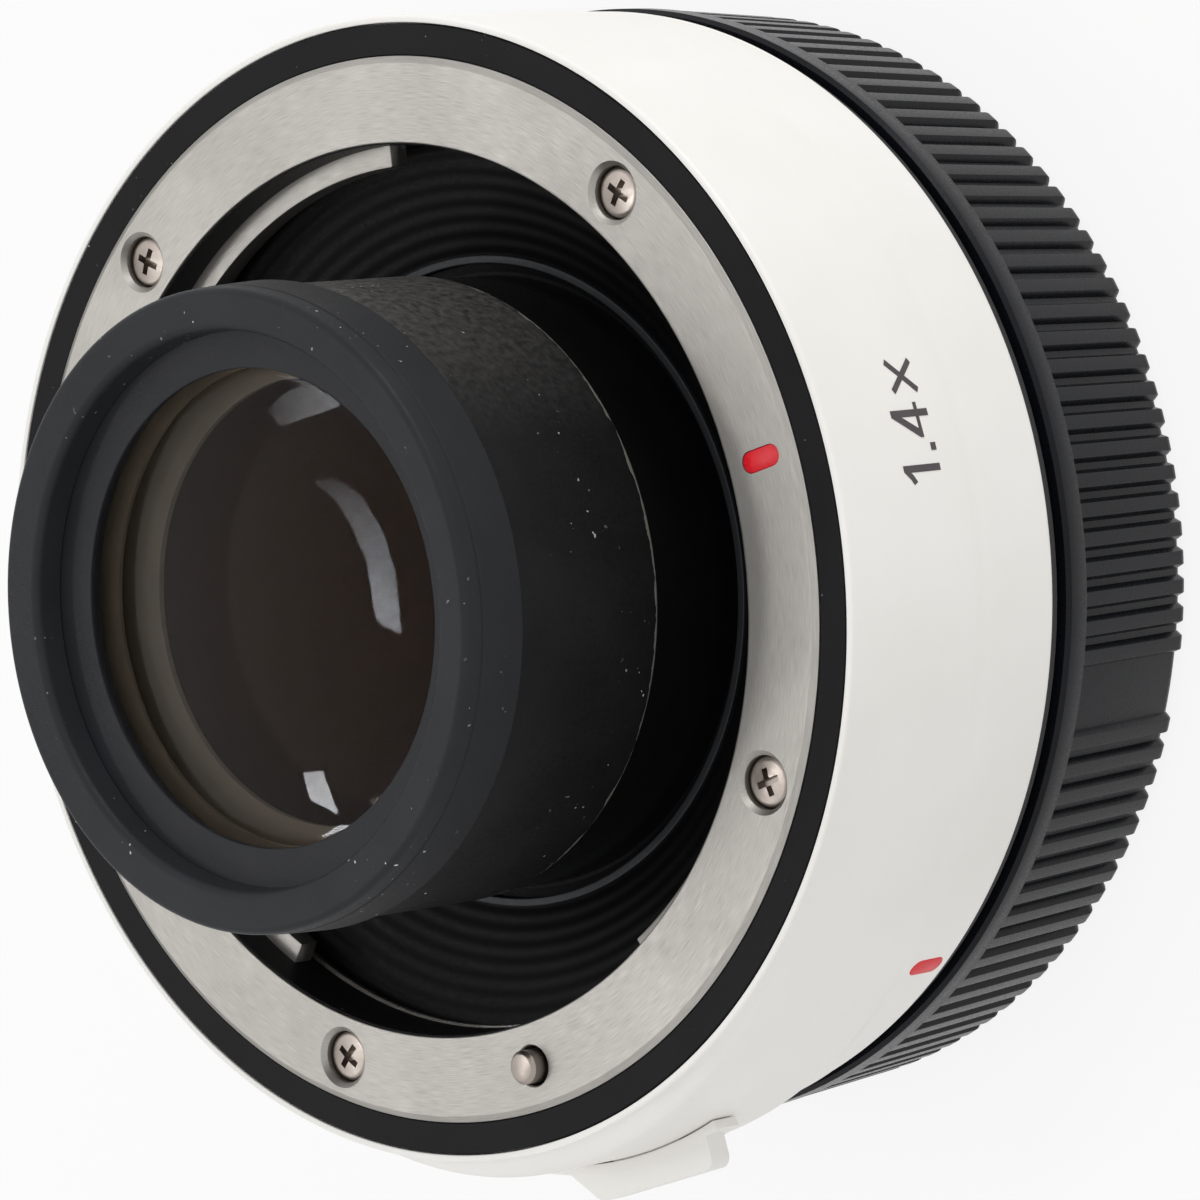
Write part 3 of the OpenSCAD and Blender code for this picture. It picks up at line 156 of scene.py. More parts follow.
@dataclass(frozen=True)
class Finish:
    """A finish that pieces wear, made as one procedural material."""

    name: str

    def material(self) -> bpy.types.Material:
        """Makes the material once and gives it back afterwards."""
        made = bpy.data.materials.get(self.name)
        if made is None:
            made = bpy.data.materials.new(self.name)
            made.use_nodes = True
            self.paint(made.node_tree, made.node_tree.nodes["Principled BSDF"])
        return made

    def paint(self, tree: Tree, shader: bpy.types.Node) -> None:
        """Fills the material's nodes.

        Args:
            tree: the material's node tree.
            shader: its principled shader.
        """
        raise NotImplementedError

    @staticmethod
    def noise(tree: Tree, vector: Socket, size_mm: float,
              detail: float = 3.0) -> Socket:
        """Adds a noise pattern of a real size.

        Args:
            tree: the material's node tree.
            vector: the coordinates it reads.
            size_mm: width of a feature.
            detail: octaves of finer noise.

        Returns:
            The pattern's value socket.
        """
        return add_node(tree, "ShaderNodeTexNoise",
                        {"Vector": vector, "Scale": per_metre(size_mm), "Detail": detail}).outputs[0]

    @staticmethod
    def spread(tree: Tree, value: Socket, low: float, high: float,
               to_low: float = 0.0, to_high: float = 1.0) -> Socket:
        """Maps a value's band to another band, clamped.

        Args:
            tree: the material's node tree.
            value: the socket to map.
            low: start of the band that is read.
            high: end of the band that is read.
            to_low: result at the start.
            to_high: result at the end.

        Returns:
            The mapped value socket.
        """
        return add_node(tree, "ShaderNodeMapRange", {0: value, 1: low, 2: high, 3: to_low, 4: to_high}).outputs[0]

    @staticmethod
    def blend(tree: Tree, factor: Socket, first: object,
              second: object) -> Socket:
        """Mixes two colours.

        Args:
            tree: the material's node tree.
            factor: how much of the second colour shows.
            first: colour or socket.
            second: colour or socket.

        Returns:
            The mixed colour socket.
        """
        return add_node(tree, "ShaderNodeMix", {0: factor, 6: first, 7: second}, data_type="RGBA").outputs[2]


@dataclass(frozen=True)
class Grained(Finish):
    """A coated or moulded surface with fine grain, cloudy colour and a matching gloss."""

    colour: str
    second: str
    roughness: float
    rough_spread: float = 0.08
    grain_mm: float = 0.3
    grain_height_mm: float = 0.01
    cloud_mm: float = 9.0
    metallic: float = 0.0
    coat: float = 0.0
    specular: float = 0.5

    def paint(self, tree: Tree, shader: bpy.types.Node) -> None:
        """Fills the material's nodes.

        Args:
            tree: the material's node tree.
            shader: its principled shader.
        """
        place = object_place(tree)
        cloud = self.spread(tree, self.noise(tree, place, self.cloud_mm, 5.0), 0.35, 0.7)
        grain = self.noise(tree, place, self.grain_mm)
        gloss = self.spread(tree, grain, 0.3, 0.7, self.roughness - self.rough_spread,
                            self.roughness + self.rough_spread)
        bump = add_node(tree, "ShaderNodeBump",
                        {"Strength": 0.6, "Distance": self.grain_height_mm * MM, "Height": grain})
        colour = self.blend(tree, cloud, linear(self.colour), linear(self.second))
        feed(tree, shader, {"Base Color": colour, "Roughness": gloss, "Normal": bump.outputs[0],
                            "Metallic": self.metallic, "Coat Weight": self.coat,
                            "Specular IOR Level": self.specular})


@dataclass(frozen=True)
class Scuffed(Grained):
    """A grained surface with small pale scuffs gathered in patches."""

    scuff: str = "#C9C9C6"
    scuff_mm: float = 0.42
    scuff_limit: float = 0.735
    patch_mm: float = 9.0

    def paint(self, tree: Tree, shader: bpy.types.Node) -> None:
        """Fills the material's nodes, then lays the scuffs over the colour.

        Args:
            tree: the material's node tree.
            shader: its principled shader.
        """
        super().paint(tree, shader)
        place = object_place(tree)
        specks = self.spread(tree, self.noise(tree, place, self.scuff_mm, 1.0), self.scuff_limit,
                             self.scuff_limit + 0.03)
        patches = self.spread(tree, self.noise(tree, place, self.patch_mm, 2.0), 0.52, 0.62)
        shown = calc(tree, "MULTIPLY", specks, patches)
        under = shader.inputs["Base Color"].links[0].from_socket
        tree.links.new(self.blend(tree, shown, under, linear(self.scuff)), shader.inputs["Base Color"])


@dataclass(frozen=True)
class TurnedSteel(Finish):
    """Stainless steel faced on a lathe: the tool's fine rings draw the highlights out along the ring."""

    colour: str
    second: str
    roughness: float
    line_mm: float = 0.16
    line_height_mm: float = 0.004
    anisotropic: float = 0.6
    line_stretch: float = 0.0011

    def paint(self, tree: Tree, shader: bpy.types.Node) -> None:
        """Fills the material's nodes.

        Args:
            tree: the material's node tree.
            shader: its principled shader.
        """
        place = object_place(tree)
        axes = add_node(tree, "ShaderNodeSeparateXYZ", {0: place}).outputs
        flat = add_node(tree, "ShaderNodeCombineXYZ", {0: axes[0], 1: axes[1]}).outputs[0]
        radius = add_node(tree, "ShaderNodeVectorMath", {0: flat}, operation="LENGTH").outputs["Value"]
        turn = calc(tree, "ARCTAN2", axes[1], axes[0])
        along = calc(tree, "MULTIPLY", turn, self.line_stretch)
        lines_at = add_node(tree, "ShaderNodeCombineXYZ", {0: radius, 1: along, 2: axes[2]}).outputs[0]
        lines = self.noise(tree, lines_at, self.line_mm, 4.0)
        cloud = self.noise(tree, place, 7.0, 3.0)
        tint = self.spread(tree, calc(tree, "ADD", lines, cloud), 0.75, 1.25)
        gloss = self.spread(tree, lines, 0.3, 0.7, self.roughness - 0.07, self.roughness + 0.09)
        bump = add_node(tree, "ShaderNodeBump",
                        {"Strength": 0.5, "Distance": self.line_height_mm * MM, "Height": lines})
        tangent = add_node(tree, "ShaderNodeTangent", {}, direction_type="RADIAL", axis="Z").outputs[0]
        colour = self.blend(tree, tint, linear(self.colour), linear(self.second))
        feed(tree, shader, {"Base Color": colour, "Roughness": gloss, "Normal": bump.outputs[0],
                            "Tangent": tangent, "Metallic": 1.0, "Anisotropic": self.anisotropic})


@dataclass(frozen=True)
class WornTubeWithPaintedLight(Scuffed):
    """Textured black paint on aluminium: dust and painted top light on one side, and a painted highlight band along
    one edge.
    """

    # Pale grey of the painted highlight band along the root edge
    edge_highlight: str = "#77756F"
    edge_z: float = 32.4
    edge_w: float = 0.42
    # Colour of the dust, which also paints the top side lighter
    dust_and_top_light: str = "#5E5C5A"
    dust_and_top_light_span: Point = (5.0, 19.5)
    dust_and_top_light_mm: float = 0.5
    ragged_mm: float = 1.6

    def paint(self, tree: Tree, shader: bpy.types.Node) -> None:
        """Fills the material's nodes, then lays dust with painted top light over one side and a painted highlight
        band along the edge.

        Args:
            tree: the material's node tree.
            shader: its principled shader.
        """
        super().paint(tree, shader)
        place = object_place(tree)
        axes = add_node(tree, "ShaderNodeSeparateXYZ", {0: place}).outputs
        # Painted highlight: a pale grey band along the root edge stands in for the light that edge catches
        ragged = self.noise(tree, place, self.ragged_mm, 3.0)
        limit = self.spread(tree, ragged, 0.3, 0.7, (self.edge_z + 0.1) * MM, (self.edge_z + self.edge_w) * MM)
        edge_highlight_band = calc(tree, "LESS_THAN", axes[2], limit)
        # Dust plus painted top light: spread over the +X side, the side that faces up in view, so it reads lighter
        # as if lit from above
        dust_and_top_light_side = self.spread(tree, axes[0], self.dust_and_top_light_span[0] * MM, self.dust_and_top_light_span[1] * MM)
        cloud = self.spread(tree, self.noise(tree, place, self.dust_and_top_light_mm, 8.0), 0.2, 0.8)
        dust_and_top_light_mask = calc(tree, "MULTIPLY", dust_and_top_light_side, cloud)
        under = shader.inputs["Base Color"].links[0].from_socket
        under = self.blend(tree, dust_and_top_light_mask, under, linear(self.dust_and_top_light))
        tree.links.new(self.blend(tree, edge_highlight_band, under, linear(self.edge_highlight)), shader.inputs["Base Color"])


@dataclass(frozen=True)
class CoatedGlass(Finish):
    """Polished optical glass with a coating that dims and tints its reflections."""

    tint: str
    coating: str
    clear: float = 1.0
    ior: float = 1.5

    def paint(self, tree: Tree, shader: bpy.types.Node) -> None:
        """Fills the material's nodes.

        Args:
            tree: the material's node tree.
            shader: its principled shader.
        """
        place = object_place(tree)
        haze = self.spread(tree, self.noise(tree, place, 5.0, 2.0), 0.35, 0.7, 0.0, 0.03)
        feed(tree, shader, {"Base Color": linear(self.tint), "Roughness": haze, "IOR": self.ior,
                            "Transmission Weight": self.clear, "Specular Tint": linear(self.coating)})


# Stoved white enamel on metal: a soft satin skin with a fine orange peel that catches light as tiny grains
WHITE_ENAMEL = Grained("stoved_white_enamel", "#EFEDE9", "#EAE8E3", 0.42, 0.06, 0.22, 0.012, 12.0)
# Matt black enamel: an even dark band with hardly any gloss and a few pale specks
BLACK_ENAMEL = Scuffed("matt_black_enamel", "#18181A", "#141416", 0.5, 0.06, 0.18, 0.008, 8.0, specular=0.1,
                       scuff_mm=0.3, scuff_limit=0.78)
# Stainless steel faced on a lathe: fine rings that stretch the highlights
FACED_STEEL = TurnedSteel("faced_stainless_steel", "#B2AFAA", "#A4A19C", 0.5, 0.05, 0.002, 0.45)
# Nickel plated steel: bright with soft marks on screws and pins
PLATED_STEEL = Grained("nickel_plated_steel", "#A39A93", "#968D86", 0.34, 0.06, 0.2, 0.003, 1.2, 1.0)
# Neoprene rubber, moulded: a dull dark grey with fine grain and pale scuffs
MOULDED_RUBBER = Scuffed("moulded_neoprene_rubber", "#2B2C2F", "#262729", 0.46, 0.08, 0.16, 0.012, 6.0,
                         specular=0.13)
# Black anodised aluminium: a dull even grey-black with a slight sheen
ANODISED = Grained("black_anodised_aluminium", "#2B2D31", "#25272A", 0.48, 0.06, 0.16, 0.006, 5.0, specular=0.35)
# Bead blasted aluminium, black anodised: the retainer's dull face with a fine sparkle
BLASTED_ANODISED = Grained("blasted_black_anodised_aluminium", "#232428", "#1F2023", 0.5, 0.1, 0.11, 0.014, 5.0,
                           specular=0.2)
# Turned aluminium lips inside the tube: they show as grey rings through the front glass
LIP_GREY = Grained("turned_grey_aluminium", "#7E7B76", "#74716C", 0.5, 0.06, 0.2, 0.004, 5.0)
# Satin black anodised aluminium: deep black that still shows soft highlights
SATIN_ANODISED = Grained("satin_black_anodised_aluminium", "#0D0E0D", "#111211", 0.34, 0.06, 0.3, 0.004, 7.0,
                         specular=0.35)
# Textured black paint: cloudy, with dust and painted top light on one side and a painted highlight band along the
# root
TUBE_PAINT = WornTubeWithPaintedLight("worn_black_paint_with_painted_light", "#161617", "#1F1E1E", 0.52, 0.1, 0.2, 0.016, 6.0, specular=0.2)
# Polyamide, moulded: matt black with a grain that kills stray light
BAFFLE_PLASTIC = Grained("matt_moulded_polyamide", "#0A0A0B", "#080809", 0.5, 0.08, 0.25, 0.006, 6.0, specular=0.12)
# ABS, moulded and fine grained: black with a soft sheen on every rib
CAP_PLASTIC = Grained("fine_grained_moulded_abs", "#111217", "#0E0F13", 0.3, 0.06, 0.18, 0.008, 8.0, specular=0.15)
# Enamel filled mark: bright red with a smooth gloss
RED_ENAMEL = Grained("filled_red_enamel", "#DC1B29", "#D01623", 0.3, 0.05, 0.5, 0.003, 1.5, specular=0.25)
# Printed ink: dark grey and flat
GREY_INK = Grained("printed_grey_ink", "#474143", "#3F393B", 0.55, 0.05, 0.12, 0.002, 1.0)
# Printed ink: white and flat
WHITE_INK = Grained("printed_white_ink", "#E8E8E6", "#DADAD8", 0.55, 0.05, 0.12, 0.002, 1.0)
# Coated crown glass: clear, with dim bluish reflections
FRONT_GLASS = CoatedGlass("coated_crown_glass", "#F2E9DE", "#4C5158", 1.0, 1.3)
# Coated flint glass behind it: dark brown in depth, with warmer reflections
INNER_GLASS = CoatedGlass("coated_flint_glass", "#26150B", "#1A130F", 0.3, 1.2)
# Silicone rubber seal: dull black
SEAL_RUBBER = Grained("silicone_seal_rubber", "#1A1A1B", "#151516", 0.6, 0.06, 0.2, 0.006, 6.0)
# Brass shim stock, rolled
SHIM_BRASS = Grained("rolled_brass_shim", "#C2A25A", "#AD8E4B", 0.3, 0.06, 0.4, 0.002, 3.0, 1.0)
# Gilt contacts: warm and bright
GILT = Grained("gilt_contact_bronze", "#D9B25C", "#C79E48", 0.24, 0.05, 0.3, 0.002, 1.0, 1.0)
# Glass fibre board under green solder mask
BOARD = Grained("solder_masked_laminate", "#1F5A36", "#194C2D", 0.35, 0.05, 0.6, 0.004, 2.0, 0.0, 0.2)
# Moulded epoxy chip bodies
CHIP_EPOXY = Grained("moulded_chip_epoxy", "#202022", "#19191B", 0.55, 0.06, 0.15, 0.006, 1.5)
# Polyimide flat cable
FLEX_FILM = Grained("polyimide_film", "#B4722C", "#9C6022", 0.35, 0.05, 0.5, 0.002, 3.0)
# Spring steel, drawn and rolled
SPRING_STEEL = Grained("drawn_spring_steel", "#A8A6A2", "#918F8B", 0.32, 0.06, 0.3, 0.003, 1.5, 1.0)


def rounded(corners: Sequence[Corner], steps: int = 5) -> list[Point]:
    """Rounds the corners of an outline.

    Args:
        corners: x, y and corner radius of each point of a closed outline.
        steps: straight stretches in each round corner.

    Returns:
        The points of the rounded outline.
    """
    points: list[Point] = []
    count = len(corners)
    for i, (x, y, radius) in enumerate(corners):
        if radius <= 0:
            points.append((x, y))
            continue
        here = Vector((x, y))
        before = (Vector(corners[i - 1][:2]) - here).normalized()
        after = (Vector(corners[(i + 1) % count][:2]) - here).normalized()
        half = before.angle(after) / 2
        reach = radius / math.tan(half)
        middle = here + (before + after).normalized() * (radius / math.sin(half))
        start = here + before * reach - middle
        end = here + after * reach - middle
        sweep = start.angle_signed(end)
        room = 2.2 * reach + 4 * GUARD
        if (Vector(corners[i - 1][:2]) - here).length > room:
            points.append(tuple(here + before * (reach + GUARD)))
        for k in range(steps + 1):
            arm = start.copy()
            arm.rotate(Matrix.Rotation(-sweep * k / steps, 2))
            points.append(tuple(middle + arm))
        if (Vector(corners[(i + 1) % count][:2]) - here).length > room:
            points.append(tuple(here + after * (reach + GUARD)))
    return points


def lathe(profile: Sequence[Point], steps: int = 240, closed: bool = True, angle: float = 360.0,
          start: float = 0.0) -> Mesh:
    """Turns a profile about the optical axis.

    Args:
        profile: radius and height of each point.
        steps: stretches of the turn.
        closed: whether the last point joins the first; an open profile starts and ends on the axis.
        angle: how far it turns.
        start: where the turn starts.

    Returns:
        The turned solid.
    """
    work = bmesh.new()
    turn = Matrix.Rotation(math.radians(start), 3, "Z")
    verts = [work.verts.new(turn @ Vector((r, 0, z))) for r, z in profile]
    edges = [work.edges.new(pair) for pair in zip(verts, verts[1:])]
    whole = angle >= 360
    if closed:
        edges.append(work.edges.new((verts[-1], verts[0])))
    ends = [] if whole else [work.faces.new(verts)]
    swept = bmesh.ops.spin(work, geom=verts + edges, cent=(0, 0, 0), axis=(0, 0, 1),
                           angle=math.radians(angle), steps=steps, use_merge=whole)
    if ends:
        last = [e for e in swept["geom_last"] if isinstance(e, bmesh.types.BMEdge)]
        bmesh.ops.contextual_create(work, geom=last)
    bmesh.ops.remove_doubles(work, verts=work.verts, dist=1e-4)
    bmesh.ops.recalc_face_normals(work, faces=work.faces)
    return work


def slab(outline: Sequence[Point], low: float, high: float) -> Mesh:
    """Pulls a flat outline up into a solid.

    Args:
        outline: x and y of each point.
        low: height of its underside.
        high: height of its top.

    Returns:
        The solid.
    """
    work = bmesh.new()
    face = work.faces.new([work.verts.new((x, y, low)) for x, y in outline])
    pulled = bmesh.ops.extrude_face_region(work, geom=[face], use_keep_orig=True)["geom"]
    top = [v for v in pulled if isinstance(v, bmesh.types.BMVert)]
    bmesh.ops.translate(work, verts=top, vec=(0, 0, high - low))
    bmesh.ops.recalc_face_normals(work, faces=work.faces)
    return work


def block(inner: float, outer: float, low: float, high: float) -> list[Point]:
    """Four corners of a square-cut profile."""
    return [(inner, low), (outer, low), (outer, high), (inner, high)]


def oblong(size: Point) -> list[Point]:
    """Outline of a slot with round ends, of this size along X and along Y."""
    x, y = size[0] / 2, size[1] / 2
    end = min(x, y) - 0.01
    return rounded([(-x, -y, end), (x, -y, end), (x, y, end), (-x, y, end)], 10)


def place(work: Mesh, angle: float, radius: float, height: float = 0.0) -> Mesh:
    """Moves a mesh out along X, then turns it about the optical axis.

    Args:
        work: the mesh.
        angle: where it goes round the axis.
        radius: how far out it goes.
        height: how far up it goes.

    Returns:
        The same mesh.
    """
    move = Matrix.Rotation(math.radians(angle), 4, "Z") @ Matrix.Translation((radius, 0, height))
    bmesh.ops.transform(work, matrix=move, verts=work.verts)
    return work


def soften(work: Mesh, width: float, segments: int = 2, limit: float = 40.0) -> Mesh:
    """Bevels the sharp edges of a mesh.

    Args:
        work: the mesh.
        width: width of the bevel.
        segments: faces across the bevel.
        limit: least angle of an edge that is bevelled.

    Returns:
        The same mesh.
    """
    sharp = [e for e in work.edges if len(e.link_faces) == 2 and e.calc_face_angle() > math.radians(limit)]
    bmesh.ops.bevel(work, geom=sharp, offset=width, segments=segments, profile=0.5, affect="EDGES", material=-1,
                    clamp_overlap=True)
    return work


def gather(parts: Sequence[Mesh]) -> Mesh:
    """Puts several meshes into one.

    Args:
        parts: the meshes, which are used up.

    Returns:
        One mesh with all of them.
    """
    whole = bmesh.new()
    for part in parts:
        shell = bpy.data.meshes.new("part")
        part.to_mesh(shell)
        part.free()
        whole.from_mesh(shell)
        bpy.data.meshes.remove(shell)
    return whole


def combine(base: Mesh, tool: Mesh, kind: Join) -> Mesh:
    """Joins a solid to another or cuts it away.

    Args:
        base: the solid that is worked on, which is used up.
        tool: the solid that is joined or cut, which is used up.
        kind: join or cut.

    Returns:
        The resulting solid.
    """
    made = []
    for work in (base, tool):
        shell = bpy.data.meshes.new("work")
        work.to_mesh(shell)
        work.free()
        holder = bpy.data.objects.new("work", shell)
        bpy.context.scene.collection.objects.link(holder)
        made.append(holder)
    step = made[0].modifiers.new("combine", "BOOLEAN")
    step.operation = kind.value
    step.solver = "EXACT"
    step.object = made[1]
    graph = bpy.context.evaluated_depsgraph_get()
    shaped = bpy.data.meshes.new_from_object(made[0].evaluated_get(graph))
    result = bmesh.new()
    result.from_mesh(shaped)
    bpy.data.meshes.remove(shaped)
    for holder in made:
        shell = holder.data
        bpy.data.objects.remove(holder)
        bpy.data.meshes.remove(shell)
    return result


def make_piece(name: str, work: Mesh, finish: Finish,
               stands_for: Sequence[str] = (), body: Body = Body.CONVERTER) -> bpy.types.Object:
    """Turns a mesh in millimetres to a finished piece of the object.

    Args:
        name: the piece's name.
        work: its mesh, which is used up.
        finish: what it wears.
        stands_for: the solids that it replaces.
        body: what it rides on.

    Returns:
        The piece.
    """
    bmesh.ops.scale(work, vec=(MM, MM, MM), verts=work.verts)
    shape = bpy.data.meshes.new(name)
    creases = [e.index for e in work.edges if not e.smooth]
    work.edges.index_update()
    work.to_mesh(shape)
    work.free()
    shape.shade_smooth()
    shape.set_sharp_from_angle(angle=SMOOTH_ANGLE)
    for index in creases:
        shape.edges[index].use_edge_sharp = True
    shape.materials.append(finish.material())
    piece = bpy.data.objects.new(name, shape)
    bpy.context.scene.collection.objects.link(piece)
    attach(piece, body.value)
    if stands_for:
        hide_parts(*stands_for)
    LOG.info("%s: %d faces in %s", name, len(shape.polygons), finish.name)
    return piece


def dress(node: str, finish: Finish) -> None:
    """Gives a solid that stays in view its finish.

    Args:
        node: the solid's name.
        finish: what it wears.
    """
    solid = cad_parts[node]
    solid.data.materials.clear()
    solid.data.materials.append(finish.material())
    LOG.info("%s: solid in %s", node, finish.name)


def sprung(name: str, node: str) -> None:
    """Makes a coil spring that keeps its solid's shape.

    Args:
        name: the piece's name.
        node: the solid that it replaces.
    """
    work = bmesh.new()
    work.from_mesh(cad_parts[node].data)
    bmesh.ops.scale(work, vec=(1 / MM, 1 / MM, 1 / MM), verts=work.verts)
    piece = make_piece(name, work, SPRING_STEEL, [node])
    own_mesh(piece)


def ease(value: float) -> float:
    """Smooth step from 0 to 1."""
    value = min(max(value, 0.0), 1.0)
    return value * value * (3 - 2 * value)


@dataclass
class OuterShell:
    """White barrel with its black trim band, marks and numerals."""

    radius: float = 35.6
    rear_radius: float = 35.48
    bore: float = 34.1
    inner: float = 28.95
    rear_z: float = 14.3
    crease_z: float = 21.1
    front_z: float = 33.54
    ledge_z: float = 32.49
    floor_z: tuple[float, float] = (15.5, 17.1)
    rim: float = 35.15
    trim_inner: float = 33.15
    trim_outer: float = 35.06
    lock_angle: float = 181.0
    bulge_offset: float = 8.0
    bulge_radius: float = 28.95
    bulge_rise: float = 1.35
    bulge_span: tuple[float, float] = (16.0, 33.5)
    bulge_ramps: tuple[float, float] = (4.0, 1.6)
    bulge_blend: float = 0.5
    mark_angle: float = 211.5
    mark_z: float = 16.55
    mark_size: tuple[float, float] = (1.31, 2.91)
    numeral_angle: float = 264.3
    numeral_z: float = 24.0
    strokes: tuple[tuple[Point, ...], ...] = (
        ((0.75, 0.0), (1.19, 0.0), (1.19, 3.4), (0.82, 3.4), (0.75, 3.1)),
        ((0.82, 3.4), (0.33, 2.86), (0.0, 2.62), (0.18, 2.3), (0.55, 2.56), (0.89, 2.9)),
        ((1.99, 0.0), (2.46, 0.0), (2.46, 0.46), (1.99, 0.46)),
        ((4.12, 0.0), (4.56, 0.0), (4.56, 3.4), (4.12, 3.4)),
        ((2.82, 0.86), (5.0, 0.86), (5.0, 1.14), (2.82, 1.14)),
        ((2.82, 1.14), (2.82, 0.86), (3.3, 1.05), (4.37, 2.95), (4.14, 3.4)),
        ((5.58, 0.38), (5.89, 0.18), (7.77, 2.42), (7.46, 2.62)),
        ((5.58, 2.42), (7.46, 0.18), (7.77, 0.38), (5.89, 2.62)),
    )

    def wall(self, z: float) -> float:
        """Radius of the plain wall, which draws in a little behind a faint crease."""
        fall = max(self.crease_z - z, 0) / (self.crease_z - self.rear_z)
        dip = 0.05 * math.exp(-((z - self.crease_z) / 0.6) ** 2)
        return self.radius - (self.radius - self.rear_radius) * fall - dip

    def bulged(self, x: float, y: float, z: float) -> float:
        """Radius of the shell's outer face with the swelling in front of the lever.

        Args:
            x: place across.
            y: place across.
            z: place along the axis.

        Returns:
            The outer radius there.
        """
        plain = math.hypot(x, y)
        turn = math.atan2(y, x) - math.radians(self.lock_angle)
        rise = (ease((z - self.bulge_span[0]) / self.bulge_ramps[0])
                * ease((self.bulge_span[1] - z) / self.bulge_ramps[1]))
        reach = self.bulge_radius - self.bulge_rise * (1 - rise)
        side = self.bulge_offset * math.sin(turn)
        if abs(side) >= reach or math.cos(turn) < 0.6:
            return plain
        swollen = self.bulge_offset * math.cos(turn) + math.sqrt(reach * reach - side * side)
        near = max(self.bulge_blend - abs(plain - swollen), 0) / self.bulge_blend
        return max(plain, swollen) + near * near * self.bulge_blend / 4 * rise

    def barrel(self) -> Mesh:
        """Turns the barrel and swells it at the lever.

        Returns:
            The barrel's mesh.
        """
        low, high = self.rear_z + 0.5, self.front_z - 0.4
        count = 60
        heights = [low + (high - low) * i / count for i in range(count + 1)]
        corners = [(self.bore + 0.05, self.rear_z, 0.0), (self.rear_radius, self.rear_z, 0.3),
                   *((self.wall(z), z, 0.0) for z in heights),
                   (self.radius, self.front_z, 0.2), (self.rim, self.front_z, 0.08), (self.rim, self.ledge_z, 0.0),
                   (self.bore, self.ledge_z, 0.0), (self.bore, self.floor_z[1], 0.0),
                   (self.inner, self.floor_z[1], 0.0), (self.inner, self.floor_z[0], 0.0),
                   (self.bore + 0.05, self.floor_z[0], 0.0)]
        work = lathe(rounded(corners), 360)
        for vert in work.verts:
            x, y, z = vert.co
            r = math.hypot(x, y)
            if r > self.rim + 0.1:
                factor = self.bulged(x, y, z) / r
                vert.co.x *= factor
                vert.co.y *= factor
        return work

    def wrap(self, work: Mesh, angle: float, height: float) -> Mesh:
        """Bends a flat mesh round the barrel.

        Args:
            work: the mesh, with X along the turn, Y along the axis and Z outwards.
            angle: where its origin goes.
            height: height of its origin.

        Returns:
            The same mesh.
        """
        for vert in work.verts:
            x, y, z = vert.co
            turn = math.radians(angle) + x / self.radius
            out = self.wall(height + y) + z
            vert.co = (out * math.cos(turn), out * math.sin(turn), height + y)
        bmesh.ops.recalc_face_normals(work, faces=work.faces)
        return work

    def numerals(self) -> Mesh:
        """Draws the plain magnification number stroke by stroke and lays it round the barrel.

        Returns:
            The printed number's mesh.
        """
        made = [slab(outline, 0.012, 0.026 + 0.003 * i) for i, outline in enumerate(self.strokes)]
        return self.wrap(gather(made), self.numeral_angle, self.numeral_z)

    def build(self) -> None:
        """Builds the shell's pieces."""
        make_piece("barrel_shell", self.barrel(), WHITE_ENAMEL, ["outer_barrel"])
        band = rounded([(self.trim_inner, self.ledge_z, 0.0), (self.trim_outer, self.ledge_z, 0.0),
                        (self.trim_outer, self.front_z - 0.02, 0.06), (self.trim_inner, self.front_z - 0.02, 0.06)])
        make_piece("trim_band", lathe(band), BLACK_ENAMEL, ["front_trim_ring"])
        inlay = soften(slab(oblong(self.mark_size), -0.35, 0.04), 0.06, 3, 60.0)
        mark = self.wrap(inlay, self.mark_angle, self.mark_z)
        make_piece("barrel_mark", mark, RED_ENAMEL, ["rear_index_mark"])
        make_piece("barrel_numerals", self.numerals(), GREY_INK)
        dress("drip_seal", SEAL_RUBBER)


